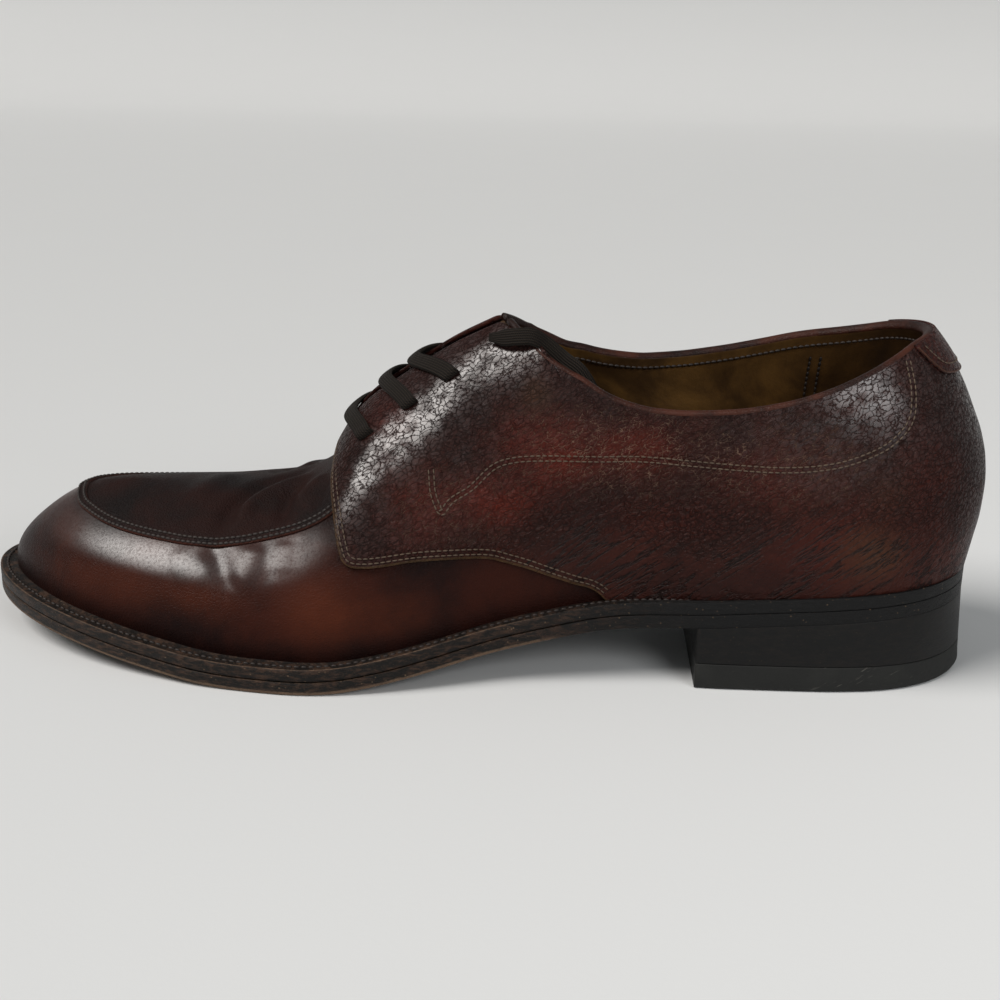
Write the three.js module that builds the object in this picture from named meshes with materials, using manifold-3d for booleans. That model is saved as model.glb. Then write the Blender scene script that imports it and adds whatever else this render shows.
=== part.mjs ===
// A man's left apron-toe blucher, in millimetres, standing on its heel and the ball of its sole.
// The toe points to -X, the outer side faces -Y, and +Z is up. The origin is the middle of the box on the floor.
import * as THREE from "three";
import { mergeVertices } from "three/addons/utils/BufferGeometryUtils.js";
import Module from "manifold-3d";

const wasm = await Module();
wasm.setup();

// Driving dimensions
const soleLength = 314;
const ballWidth = 108;
const heelHeight = 19;
const toeSpring = 10;
const outsoleThickness = 4.2;
const weltThickness = 3.9;
const weltRingWidth = 13;
const weltShowsHeel = 2.3;
const weltShowsForepart = 5.5;
const heelLength = 86;
const topLiftThickness = 8;
const heelFlare = 1.4;
const instepRise = 88;
const upperLength = 308.5;
const heelCurve = 4.2;
const vampWall = 1.7;
const quarterThickness = 1.6;
const throatLift = 2.2;
const seamHeight = 0.9;
const seamWidth = 4.2;
const tabThickness = 0.9;
const apronWidth = 66;
const facingGapTop = 14;
const facingGapThroat = 11;
const eyeletRadius = 1.7;
const tongueThickness = 2.2;
const tongueWidth = 46;
const insoleThickness = 3;
const laceWidth = 5.2;
const laceThickness = 1.7;
const laceSlack = 0.6;
const tipLength = 14;
const tipRadius = 1.3;
const gap = 0.3;
const cutDepth = 12;

// How finely the rings of the forms are cut
const pointsAround = 84;
const levelsUp = 12;
const solePoints = 88;

// Shares of the sole's length from the back of the heel, with what is measured there
const outlineTable = {
  // centre: how far the centreline swings to the inner side, as a share of the ball width
  // width: the sole's width before its ends are rounded, as a share of the ball width
  at: [0, 0.08, 0.16, 0.25, 0.35, 0.45, 0.55, 0.62, 0.67, 0.73, 0.8, 0.87, 0.93, 1],
  centre: [0, 0, -0.006, -0.016, -0.032, -0.052, -0.06, -0.046, -0.022, 0.008, 0.034, 0.05, 0.066, 0.084],
  width: [0.635, 0.655, 0.69, 0.678, 0.615, 0.64, 0.79, 0.912, 0.968, 0.982, 0.945, 0.905, 0.875, 0.82],
};
const undersideTable = {
  // heel and spring: shares of the heel height and of the toe spring
  at: [0, 0.27, 0.36, 0.42, 0.48, 0.54, 0.58, 0.615, 0.645, 0.7, 0.74, 0.78, 0.82, 0.88, 0.94, 1],
  heel: [1.28, 1, 0.885, 0.7, 0.47, 0.235, 0.105, 0.025, 0, 0, 0, 0, 0, 0, 0, 0],
  spring: [0, 0, 0, 0, 0, 0, 0, 0, 0, 0, 0.06, 0.19, 0.34, 0.58, 0.79, 1],
};
const ridgeTable = {
  // rise: the height of the last's ridge over the upper's lower edge, as a share of the instep rise
  // aside: how far the ridge lies to the inner side, as a share of the ball width
  at: [0, 0.19, 0.32, 0.41, 0.46, 0.484, 0.51, 0.54, 0.573, 0.592, 0.605, 0.618, 0.63, 0.643, 0.656, 0.685,
    0.717, 0.764, 0.812, 0.86, 0.892, 0.924, 0.955, 1],
  rise: [1.068, 1.097, 1.07, 1.024, 0.985, 0.962, 0.934, 0.885, 0.813, 0.757, 0.707, 0.644, 0.583, 0.538, 0.507,
    0.47, 0.448, 0.42, 0.4, 0.38, 0.368, 0.338, 0.292, 0.22],
  aside: [0, 0, 0, 0.01, 0.02, 0.02, 0.02, 0.02, 0.02, 0.02, 0.02, 0.02, 0.02, 0.02, 0.022, 0.026,
    0.03, 0.035, 0.04, 0.045, 0.05, 0.055, 0.06, 0.07],
};
const stationTable = {
  // where the points round a form sit: even steps at, the share of its length they fall on; closest at the throat
  at: [0, 0.25, 0.5, 0.72, 1],
  share: [0, 0.3, 0.565, 0.68, 1],
};
const sectionTable = {
  // fullness: the power of the curve from the wall to the ridge
  // outerBulge and innerBulge: how far the wall stands out over its foot, as a share of the half width
  at: [0, 0.3, 0.42, 0.5, 0.56, 0.61, 0.68, 0.8, 1],
  fullness: [2.5, 2.6, 2.7, 2.6, 2.35, 2.25, 2.7, 3, 3],
  outerBulge: [0.05, 0.06, 0.09, 0.06, 0.05, 0.04, 0.03, 0.02, 0],
  innerBulge: [0.05, 0.08, 0.16, 0.12, 0.08, 0.05, 0.03, 0.02, 0],
};
const backTable = {
  // level: share of the height up the ridge; out: how far the back stands out, as a share of the heel curve
  level: [0, 0.1, 0.18, 0.27, 0.35, 0.43, 0.51, 0.6, 0.7, 0.85, 1],
  out: [-0.1, 0.25, 0.52, 0.6, 0.42, -0.05, -0.8, -1.75, -3.15, -6.6, -14.5],
};
const toplineTable = {
  // outer and inner: the collar's height over the upper's lower edge on each side, as shares of the instep rise
  at: [-0.05, 0.042, 0.08, 0.1, 0.126, 0.166, 0.207, 0.248, 0.29, 0.322, 0.354, 0.375, 0.391, 0.407, 0.423,
    0.446, 0.462, 0.49],
  outer: [0.82, 0.82, 0.805, 0.777, 0.738, 0.685, 0.65, 0.633, 0.63, 0.638, 0.67, 0.71, 0.754, 0.79, 0.832,
    0.905, 0.962, 1.03],
  inner: [0.82, 0.82, 0.8, 0.78, 0.762, 0.745, 0.72, 0.7, 0.69, 0.692, 0.71, 0.732, 0.758, 0.78, 0.82,
    0.88, 0.93, 1.0],
};
const quarterEdgeTable = {
  // the quarter's lower and front edge, from the sole at the waist round the corner and up to the throat
  at: [0.345, 0.37, 0.395, 0.416, 0.436, 0.456, 0.476, 0.506, 0.543, 0.5875, 0.604, 0.613, 0.6225, 0.6275,
    0.628, 0.6245, 0.621],
  up: [-0.08, 0.04, 0.09, 0.132, 0.172, 0.208, 0.243, 0.272, 0.295, 0.301, 0.328, 0.38, 0.468, 0.547,
    0.63, 0.71, 0.9],
};
const apronTable = {
  // the apron seam seen from above: half its width, as a share of half the apron's width
  at: [0.6, 0.637, 0.67, 0.72, 0.755, 0.787, 0.82, 0.853, 0.878, 0.897, 0.905],
  half: [1, 0.99, 1, 1.05, 1.02, 0.95, 0.85, 0.7, 0.52, 0.3, 0],
};
const tabTable = {
  // the lower edge of the small tab at the back of the collar
  at: [0.1, 0.085, 0.072, 0.055, 0.03, -0.05],
  up: [0.83, 0.79, 0.745, 0.7, 0.685, 0.685],
};
const eyeletTable = {
  // aside: from the ridge, as a share of the ball width
  // forward: how far the lace's bar swings toward the toe on its way across, as a share of the sole's length
  at: [0.59, 0.552, 0.514, 0.48],
  aside: [0.2, 0.179, 0.154, 0.132],
  forward: [0.018, 0.026, 0.038, 0],
};
const laceEndTable = {
  // the loose end's run from the top eyelet over the collar and down inside
  // up: over the upper's lower edge, as a share of the instep rise; aside: share of the ball width
  at: [0.4809, 0.4675, 0.4522, 0.4389, 0.4271, 0.4105, 0.3984, 0.3908, 0.3806, 0.3694, 0.3615],
  up: [0.94, 0.933, 0.931, 0.92, 0.883, 0.823, 0.79, 0.756, 0.69, 0.591, 0.484],
  aside: [-0.115, -0.135, -0.156, -0.157, -0.144, -0.148, -0.17, -0.181, -0.19, -0.194, -0.197],
};

// A smooth curve through a table's rows that never overshoots them
function curve(xs, ys) {
  const n = xs.length;
  const step = xs.slice(1).map((x, i) => x - xs[i]);
  const slope = step.map((h, i) => (ys[i + 1] - ys[i]) / h);
  const tangent = xs.map((_, i) => {
    if (i === 0) return slope[0];
    if (i === n - 1) return slope[n - 2];
    if (slope[i - 1] * slope[i] <= 0) return 0;
    const before = 2 * step[i] + step[i - 1];
    const after = step[i] + 2 * step[i - 1];
    return (before + after) / (before / slope[i - 1] + after / slope[i]);
  });
  return (x) => {
    if (x <= xs[0]) return ys[0];
    if (x >= xs[n - 1]) return ys[n - 1];
    let i = 0;
    while (x > xs[i + 1]) i += 1;
    const h = step[i];
    const t = (x - xs[i]) / h;
    return (
      ys[i] * (1 + 2 * t) * (1 - t) ** 2 +
      tangent[i] * h * t * (1 - t) ** 2 +
      ys[i + 1] * t * t * (3 - 2 * t) +
      tangent[i + 1] * h * t * t * (t - 1)
    );
  };
}

const outlineCentre = curve(outlineTable.at, outlineTable.centre);
const outlineWidth = curve(outlineTable.at, outlineTable.width);
const heelShare = curve(undersideTable.at, undersideTable.heel);
const springShare = curve(undersideTable.at, undersideTable.spring);
const ridgeRise = curve(ridgeTable.at, ridgeTable.rise);
const ridgeAside = curve(ridgeTable.at, ridgeTable.aside);
const fullness = curve(sectionTable.at, sectionTable.fullness);
const outerBulge = curve(sectionTable.at, sectionTable.outerBulge);
const innerBulge = curve(sectionTable.at, sectionTable.innerBulge);
const backOut = curve(backTable.level, backTable.out);
const collarOuter = curve(toplineTable.at, toplineTable.outer);
const collarInner = curve(toplineTable.at, toplineTable.inner);
const apronHalf = curve(apronTable.at, apronTable.half);
const stationShare = curve(stationTable.at, stationTable.share);

const heelRound = 0.12;
const toeRound = 0.25;
const soleEdge = outsoleThickness + gap + weltThickness;

// Round ends for a plan outline: 1 along the middle, falling to 0 at either end
function ends(share) {
  if (share < heelRound) return Math.sqrt(Math.max(0, 1 - ((heelRound - share) / heelRound) ** 2.1));
  if (share > 1 - toeRound) return Math.sqrt(Math.max(0, 1 - ((share - 1 + toeRound) / toeRound) ** 2));
  return 1;
}

// Heights and places along the shoe; along is millimetres from the back of the heel
const xOf = (along) => soleLength / 2 - along;
const underside = (along) => {
  const share = along / soleLength;
  return heelHeight * heelShare(share) + toeSpring * springShare(share);
};
const upperFoot = (along) => underside(along) + soleEdge + gap;
const ridgeHeight = (along) => upperFoot(along) + instepRise * ridgeRise(along / soleLength);
const ridgeY = (along) => ballWidth * ridgeAside(along / soleLength);

// The sole's outline, drawn in by inset; k runs round it from the heel along the outer side
function solePoint(k, count, inset) {
  const angle = (2 * Math.PI * k) / count;
  const share = (1 - Math.cos(angle)) / 2;
  const side = k <= count / 2 ? -1 : 1;
  const half = (ballWidth * outlineWidth(share)) / 2;
  const along = inset + (soleLength - 2 * inset) * share;
  return {
    along,
    y: ballWidth * outlineCentre(share) + side * Math.max(0, half - inset) * ends(share),
  };
}

// A point of the last: turn runs round the shoe, level from the upper's lower edge to the ridge
function lastPoint(turn, level) {
  const share = stationShare((1 - Math.cos(turn)) / 2);
  const side = Math.sin(turn) >= 0 ? -1 : 1;
  const shows = weltShowsHeel + (weltShowsForepart - weltShowsHeel) * THREE.MathUtils.smoothstep(share, 0.1, 0.55);
  const half = ((ballWidth * outlineWidth(share)) / 2 - shows) * ends(share);
  const bulge = side < 0 ? outerBulge(share) : innerBulge(share);
  const across = (1 + bulge * 6.75 * level * (1 - level) ** 2) * Math.sqrt(Math.max(0, 1 - level ** fullness(share)));
  const back = weltShowsHeel * 0.4 - heelCurve * backOut(level);
  const toeStart = upperLength * 0.85;
  const toe = toeStart + (upperLength - toeStart) * Math.sqrt(Math.max(0, 1 - level ** 2.3));
  const along = back + (toe - back) * share;
  const centre = ballWidth * outlineCentre(share) * (1 - level) + ridgeY(along) * level;
  const foot = upperFoot(along);
  return new THREE.Vector3(
    xOf(along),
    centre + side * half * across,
    foot + (ridgeHeight(along) - foot) * level,
  );
}

// The rings of a form that lies a given distance outside the last, or inside it where that is negative
function formRings(offset) {
  const turnOf = (k) => (2 * Math.PI * k) / pointsAround;
  const levels = Array.from({ length: levelsUp + 1 }, (_, j) => Math.sin((Math.PI / 2) * (j / levelsUp)));
  const base = levels.map((level) =>
    Array.from({ length: pointsAround }, (_, k) => lastPoint(turnOf(k), level)),
  );
  const top = levelsUp;
  const wrap = (k) => (k + pointsAround) % pointsAround;
  const normalAt = (j, k) => {
    if (j === top && (k === 0 || k === pointsAround / 2)) {
      return normalAt(top, wrap(k + 1)).add(normalAt(top - 1, k)).normalize();
    }
    const round = base[j][wrap(k + 1)].clone().sub(base[j][wrap(k - 1)]);
    const up =
      j === top
        ? base[top - 1][wrap(-k)].clone().sub(base[top - 1][k])
        : base[j + 1][k].clone().sub(base[Math.max(0, j - 1)][k]);
    return up.cross(round).normalize();
  };
  return base.map((ring, j) =>
    ring.map((point, k) => {
      const normal = normalAt(j, k);
      const amount = typeof offset === "function" ? offset(soleLength / 2 - point.x, levels[j]) : offset;
      const moved = point.clone().addScaledVector(normal, amount);
      if (j === 0) moved.z = upperFoot(soleLength / 2 - moved.x);
      return moved;
    }),
  );
}

// A closed geometry through rings of points, with strips across its bottom and, unless it ends in a line, its top
function loft(rings, closeTop) {
  const count = rings[0].length;
  const positions = rings.flat().flatMap((p) => [p.x, p.y, p.z]);
  const index = [];
  const at = (j, k) => j * count + (k % count);
  for (let j = 0; j + 1 < rings.length; j += 1) {
    for (let k = 0; k < count; k += 1) {
      index.push(at(j, k), at(j + 1, k), at(j, k + 1));
      index.push(at(j, k + 1), at(j + 1, k), at(j + 1, k + 1));
    }
  }
  const cap = (j, flip) => {
    for (let k = 0; k < count / 2; k += 1) {
      const corners = [at(j, k), at(j, k + 1), at(j, count - k - 1), at(j, count - k)];
      const faces = [corners[0], corners[1], corners[2], corners[0], corners[2], corners[3]];
      index.push(...(flip ? faces.reverse() : faces));
    }
  };
  cap(0, false);
  if (closeTop) cap(rings.length - 1, true);
  const geometry = new THREE.BufferGeometry();
  geometry.setAttribute("position", new THREE.Float32BufferAttribute(positions, 3));
  geometry.setIndex(index);
  return geometry;
}

// A manifold solid of a closed geometry
function solid(geometry) {
  const bare = geometry.clone();
  bare.deleteAttribute("normal");
  bare.deleteAttribute("uv");
  const merged = mergeVertices(bare.index ? bare.toNonIndexed() : bare, 1e-4);
  const source = merged.index.array;
  const kept = [];
  for (let i = 0; i < source.length; i += 3) {
    const [a, b, c] = [source[i], source[i + 1], source[i + 2]];
    if (a !== b && b !== c && a !== c) kept.push(a, b, c);
  }
  const mesh = new wasm.Mesh({
    numProp: 3,
    vertProperties: merged.attributes.position.array,
    triVerts: new Uint32Array(kept),
  });
  mesh.merge();
  const made = new wasm.Manifold(mesh);
  if (made.volume() > 0) return made;
  for (let i = 0; i < kept.length; i += 3) [kept[i], kept[i + 1]] = [kept[i + 1], kept[i]];
  mesh.triVerts = new Uint32Array(kept);
  return new wasm.Manifold(mesh);
}

// A form of the upper as a solid; drop carries its lower edge straight down by that much
function form(offset, drop = 0) {
  const rings = formRings(offset);
  if (drop) rings.unshift(rings[0].map((p) => new THREE.Vector3(p.x, p.y, p.z - drop)));
  return solid(loft(rings, false));
}

// A prism seen from the side: points are [along, height], and it runs from y low to y high
function sidePrism(points, low, high) {
  const shape = new THREE.Shape(points.map(([along, z]) => new THREE.Vector2(xOf(along), z)));
  const geometry = new THREE.ExtrudeGeometry(shape, { depth: high - low, bevelEnabled: false });
  geometry.rotateX(Math.PI / 2);
  geometry.translate(0, high, 0);
  return solid(geometry);
}

// A prism seen from above: points are [along, y], and it runs from z low to z high
function planPrism(points, low, high) {
  const shape = new THREE.Shape(points.map(([along, y]) => new THREE.Vector2(xOf(along), y)));
  const geometry = new THREE.ExtrudeGeometry(shape, { depth: high - low, bevelEnabled: false });
  geometry.translate(0, 0, low);
  return solid(geometry);
}

const sky = instepRise * 2.2;
const wide = ballWidth;
const smooth = (points, steps) =>
  new THREE.SplineCurve(points.map(([a, b]) => new THREE.Vector2(a, b))).getPoints(steps).map((p) => [p.x, p.y]);
const upFrom = (share, up) => [share * soleLength, upperFoot(share * soleLength) + instepRise * up];

// A strip of a last-shaped solid's surface between two distances from it
const facingHalf = (along) => {
  const share = THREE.MathUtils.clamp((along / soleLength - 0.48) / 0.14, 0, 1);
  return (facingGapTop + (facingGapThroat - facingGapTop) * share) / 2;
};

function facingSlot(front) {
  const stations = Array.from({ length: 7 }, (_, i) => soleLength * 0.36 + (front - soleLength * 0.36) * (i / 6));
  const outer = stations.map((s) => [s, ridgeY(s) - facingHalf(s)]);
  const inner = stations.map((s) => [s, ridgeY(s) + facingHalf(s)]).reverse();
  return planPrism([...outer, ...inner], instepRise * 0.4, sky);
}

function collarCutter(heightShare, low, high) {
  const first = toplineTable.at[0];
  const last = toplineTable.at[toplineTable.at.length - 1];
  const line = Array.from({ length: 29 }, (_, i) => {
    const share = first + (last - first) * (i / 28);
    return upFrom(share, heightShare(share));
  });
  return sidePrism([...line, [last * soleLength, sky], [first * soleLength, sky]], low, high);
}

// Where the outside of a form lies at a place seen from above
function surfaceHeight(along, y, offset) {
  const side = y < ridgeY(along) ? 1 : -1;
  let low = 0.3;
  let high = 1;
  let point = null;
  for (let i = 0; i < 40; i += 1) {
    const level = (low + high) / 2;
    let turnLow = 0;
    let turnHigh = Math.PI;
    for (let n = 0; n < 40; n += 1) {
      const turn = (turnLow + turnHigh) / 2;
      point = lastPoint(side * turn, level);
      if (soleLength / 2 - point.x < along) turnLow = turn;
      else turnHigh = turn;
    }
    if ((point.y - y) * side < 0) low = level;
    else high = level;
  }
  const ahead = 1.5;
  const normal = new THREE.Vector3(0, 0, 1);
  if (offset !== null) {
    const dx = surfaceHeight(along - ahead, y, null).z - surfaceHeight(along + ahead, y, null).z;
    const dy = surfaceHeight(along, y + ahead, null).z - surfaceHeight(along, y - ahead, null).z;
    normal.set(-dx / (2 * ahead), -dy / (2 * ahead), 1).normalize();
    return { point: point.clone().addScaledVector(normal, offset), normal };
  }
  return point;
}

const nearThroat = (along, level) =>
  throatLift *
  Math.exp(-(((along / soleLength - 0.605) / 0.035) ** 2)) *
  THREE.MathUtils.smoothstep(level, 0.45, 0.95);
const quarterOut = (along, level) => quarterThickness + nearThroat(along, level);

function eyeletAt(i, side) {
  const along = eyeletTable.at[i] * soleLength;
  const y = ridgeY(along) + side * ballWidth * eyeletTable.aside[i];
  return surfaceHeight(along, y, quarterThickness);
}

function upperSolid() {
  const edge = quarterEdgeTable.at.map((share, i) => upFrom(share, quarterEdgeTable.up[i]));
  const quarterSide = sidePrism(
    [...smooth(edge, 44), [edge[edge.length - 1][0], sky], [-wide, sky], [-wide, -wide], [edge[0][0], -wide]],
    -wide,
    wide,
  );
  const throat = soleLength * 0.66;
  const quarters = form(quarterOut).intersect(quarterSide).subtract(facingSlot(throat));

  const seamStations = Array.from({ length: 17 }, (_, i) => {
    const t = Math.sin((Math.PI / 2) * (i / 16));
    return apronTable.at[0] + (apronTable.at[apronTable.at.length - 1] - apronTable.at[0]) * t;
  });
  const seamSide = (side, out) =>
    seamStations.map((share) => {
      const grow = 1 + out / (apronWidth / 2);
      const along = share * soleLength;
      const half = (apronWidth / 2) * apronHalf(share) * grow;
      return [along + out * apronFront(share), ridgeY(along) + side * half];
    });
  const seamLoop = (out) => planPrism([...seamSide(-1, out), ...seamSide(1, out).reverse().slice(1)], instepRise * 0.28, sky);
  const seam = form(seamHeight)
    .intersect(seamLoop(seamWidth / 2))
    .subtract(seamLoop(-seamWidth / 2));

  const tabEdge = tabTable.at.map((share, i) => upFrom(share, tabTable.up[i]));
  const tabSide = sidePrism([...smooth(tabEdge, 16), [-wide, sky], [tabEdge[0][0], sky]], -wide, wide);
  const tab = form(quarterThickness + tabThickness).intersect(tabSide);

  const vampFront = soleLength * 0.6;
  let upper = form(0).add(quarters).add(seam).add(tab);
  upper = upper.subtract(form(-vampWall, cutDepth)).subtract(facingSlot(vampFront));
  upper = upper.subtract(collarCutter(collarOuter, -wide, 0)).subtract(collarCutter(collarInner, 0, wide));
  for (let i = 0; i < eyeletTable.at.length; i += 1) {
    for (const side of [-1, 1]) {
      const { point, normal } = eyeletAt(i, side);
      const hole = new THREE.CylinderGeometry(eyeletRadius, eyeletRadius, cutDepth, 12);
      hole.applyQuaternion(new THREE.Quaternion().setFromUnitVectors(new THREE.Vector3(0, 1, 0), normal));
      hole.translate(point.x, point.y, point.z);
      upper = upper.subtract(solid(hole));
    }
  }
  return upper;
}

function apronFront(share) {
  return THREE.MathUtils.smoothstep(share, 0.8, 0.9);
}

function tongueSolid() {
  const outer = form(-vampWall - gap * 1.5);
  const inner = form(-vampWall - gap * 1.5 - tongueThickness);
  const rear = soleLength * 0.475;
  const front = soleLength * 0.655;
  const stations = Array.from({ length: 7 }, (_, i) => rear + (front - rear) * (i / 6));
  const half = (s) => (tongueWidth / 2) * (1 - 0.2 * ((s - rear) / (front - rear)));
  const plan = planPrism(
    [...stations.map((s) => [s, ridgeY(s) - half(s)]), ...stations.map((s) => [s, ridgeY(s) + half(s)]).reverse()],
    instepRise * 0.4,
    sky,
  );
  return outer.subtract(inner).intersect(plan);
}

function insoleSolid() {
  const ringAt = (lift) =>
    Array.from({ length: pointsAround }, (_, k) => {
      const p = formRingZero[k];
      return new THREE.Vector3(p.x, p.y, upperFoot(soleLength / 2 - p.x) + lift);
    });
  return solid(loft([ringAt(gap), ringAt(gap + insoleThickness)], true));
}
const formRingZero = formRings(-vampWall - 2 * gap)[0];

// A plate between two heights, both functions of the place along the shoe, inside an outline
function plate(inset, low, high, count) {
  const ringAt = (height, drawIn) =>
    Array.from({ length: count }, (_, k) => {
      const { along, y } = solePoint(k, count, inset + drawIn);
      return new THREE.Vector3(xOf(along), y, height(along));
    });
  return { ringAt, made: solid(loft([ringAt(low, 0), ringAt(high, 0)], true)) };
}

function outsoleSolid() {
  return plate(0, underside, (s) => underside(s) + outsoleThickness, solePoints).made;
}

function weltSolid() {
  const low = (s) => underside(s) + outsoleThickness + gap;
  const high = (s) => underside(s) + soleEdge;
  const hole = plate(weltRingWidth, (s) => low(s) - 1, (s) => high(s) + 1, solePoints).made;
  return plate(0, low, high, solePoints).made.subtract(hole);
}

function heelSolid(low, high, insetLow, insetHigh) {
  const ringAt = (height, inset) =>
    Array.from({ length: solePoints }, (_, k) => {
      const { along, y } = solePoint(k, solePoints, inset);
      return new THREE.Vector3(xOf(along), y, height(along));
    });
  const block = solid(loft([ringAt(low, insetLow), ringAt(high, insetHigh)], true));
  const breast = sidePrism([[-wide, -wide], [heelLength, -wide], [heelLength, sky], [-wide, sky]], -wide, wide);
  return block.intersect(breast);
}

// A flat lace through a list of centres, each with the direction across its width
function laceSolid(points, widths, across) {
  const path = new THREE.CatmullRomCurve3(points);
  const count = points.length * 3;
  const rings = Array.from({ length: count + 1 }, (_, i) => {
    const t = i / count;
    const centre = path.getPointAt(t);
    const along = path.getTangentAt(t);
    const wideways = across(t).clone().addScaledVector(along, -across(t).dot(along)).normalize();
    const thick = along.clone().cross(wideways);
    return Array.from({ length: 8 }, (_, k) => {
      const angle = (2 * Math.PI * (k + 0.5)) / 8;
      return centre
        .clone()
        .addScaledVector(wideways, (Math.cos(angle) * widths(t)) / 2)
        .addScaledVector(thick, (Math.sin(angle) * laceThickness) / 2);
    });
  });
  return solid(loft(rings, true));
}

function laceBar(i) {
  const from = eyeletAt(i, -1);
  const to = eyeletAt(i, 1);
  const clear = laceThickness / 2 + gap * 1.5;
  const count = 9;
  const points = Array.from({ length: count }, (_, n) => {
    const t = n / (count - 1);
    const y = THREE.MathUtils.lerp(from.point.y, to.point.y, t);
    const along = (eyeletTable.at[i] + eyeletTable.forward[i] * Math.sin(Math.PI * t)) * soleLength;
    const surface = surfaceHeight(along, y, quarterOut(along, 0.95));
    return surface.point.addScaledVector(surface.normal, clear + laceSlack * Math.sin(Math.PI * t));
  });
  const along = new THREE.Vector3(1, 0, 0.8);
  return laceSolid(points, () => laceWidth, () => along);
}

const laceEndPoints = laceEndTable.at.map((share, i) => {
  const [along, z] = upFrom(share, laceEndTable.up[i]);
  return new THREE.Vector3(xOf(along), ballWidth * laceEndTable.aside[i], z);
});

function laceEnd() {
  const upright = new THREE.Vector3(0, 0.3, 1);
  return laceSolid(laceEndPoints, () => laceWidth, () => upright);
}

function laceTip() {
  const [before, last] = laceEndPoints.slice(-2);
  const along = last.clone().sub(before).normalize();
  const tip = new THREE.CylinderGeometry(tipRadius, tipRadius, tipLength, 8);
  tip.applyQuaternion(new THREE.Quaternion().setFromUnitVectors(new THREE.Vector3(0, 1, 0), along));
  const middle = last.clone().addScaledVector(along, gap + tipLength / 2);
  tip.translate(middle.x, middle.y, middle.z);
  return solid(tip);
}

const leather = (colour, roughness) => new THREE.MeshStandardMaterial({ color: colour, roughness, metalness: 0 });
const upperLeather = leather(0x3c1510, 0.35);
const liningLeather = leather(0x4a2a12, 0.6);
const edgeBlack = leather(0x17120f, 0.5);
const soleLeather = leather(0x2a1d16, 0.65);
const rubber = leather(0x161614, 0.7);
const laceCloth = leather(0x2c2620, 0.9);

const group = new THREE.Group();
function addPiece(name, made, material) {
  // A cut can leave a crumb; the piece is the largest body
  const piece = made.decompose().reduce((a, b) => (b.volume() > a.volume() ? b : a));
  const { vertProperties, triVerts } = piece.getMesh();
  const geometry = new THREE.BufferGeometry();
  geometry.setAttribute("position", new THREE.BufferAttribute(vertProperties, 3));
  geometry.setIndex(new THREE.BufferAttribute(triVerts, 1));
  geometry.computeVertexNormals();
  const mesh = new THREE.Mesh(geometry, material);
  mesh.name = name;
  group.add(mesh);
}

addPiece("outsole", outsoleSolid(), soleLeather);
addPiece("welt", weltSolid(), edgeBlack);
addPiece("heel_base", heelSolid(() => topLiftThickness + gap, (s) => underside(s) - gap, -heelFlare * 0.6, 0), edgeBlack);
addPiece("top_lift", heelSolid(() => 0, () => topLiftThickness, -heelFlare, -heelFlare * 0.6), rubber);
addPiece("insole", insoleSolid(), liningLeather);
addPiece("upper", upperSolid(), upperLeather);
addPiece("tongue", tongueSolid(), upperLeather);
for (let i = 0; i < eyeletTable.at.length - 1; i += 1) addPiece(`lace_bar_${i + 1}`, laceBar(i), laceCloth);
addPiece("lace_end", laceEnd(), laceCloth);
addPiece("lace_tip", laceTip(), edgeBlack);

const box = new THREE.Box3().setFromObject(group);
group.position.set(-(box.min.x + box.max.x) / 2, -(box.min.y + box.max.y) / 2, 0);

export default group;
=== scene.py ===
"""Apron toe blucher: the leather, edges, stitches and lace of one left shoe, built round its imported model."""

import math

import bpy
import numpy as np
from bpy.props import FloatProperty, FloatVectorProperty, PointerProperty
from mathutils import Matrix, Vector


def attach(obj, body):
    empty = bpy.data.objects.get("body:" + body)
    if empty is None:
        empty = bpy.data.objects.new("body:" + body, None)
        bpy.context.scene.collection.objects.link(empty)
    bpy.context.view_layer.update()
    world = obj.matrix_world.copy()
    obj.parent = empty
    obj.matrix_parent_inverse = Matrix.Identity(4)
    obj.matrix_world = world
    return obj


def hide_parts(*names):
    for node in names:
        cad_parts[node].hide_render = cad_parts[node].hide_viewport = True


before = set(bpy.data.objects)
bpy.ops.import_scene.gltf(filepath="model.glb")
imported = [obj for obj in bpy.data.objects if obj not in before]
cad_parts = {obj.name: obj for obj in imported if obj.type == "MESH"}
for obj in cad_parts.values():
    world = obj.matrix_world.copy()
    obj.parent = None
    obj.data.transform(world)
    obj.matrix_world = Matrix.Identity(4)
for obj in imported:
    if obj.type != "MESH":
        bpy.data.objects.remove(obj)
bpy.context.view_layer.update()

bl_info = {
    "name": "Apron toe blucher",
    "version": (1, 0, 0),
    "blender": (4, 5, 0),
    "location": "View3D > Sidebar > Shoe",
    "description": "Builds a leather apron toe shoe piece by piece",
    "category": "Add Mesh",
}

# The place of the shoe's own axes in the model's frame, and the shoe's lengths, all in millimetres
SHIFT = np.array([-1.5964, 0.1456, 0.0])
SOLE_LENGTH = 314.0
BALL_WIDTH = 108.0
HEEL_HEIGHT = 19.0
TOE_SPRING = 10.0
OUTSOLE = 4.2
WELT = 3.9
GAP = 0.3
SOLE_EDGE = OUTSOLE + GAP + WELT
WELT_SHOWS = (2.3, 5.5)
HEEL_LENGTH = 86.0
HEEL_FLARE = 1.4
TOP_LIFT = 8.0
INSTEP_RISE = 88.0
UPPER_LENGTH = 308.5
HEEL_CURVE = 4.2
WALL = 1.7
QUARTER = 1.6
THROAT_LIFT = 2.2
TAB = 0.9
APRON_WIDTH = 66.0
FACING_GAP = (14.0, 11.0)
HEEL_ROUND = 0.12
TOE_ROUND = 0.25
TOE_CURVE = 2.3
FACING_START = 0.48
FACING_SPAN = 0.14
THROAT_AT = 0.605
THROAT_REACH = 0.035
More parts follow.
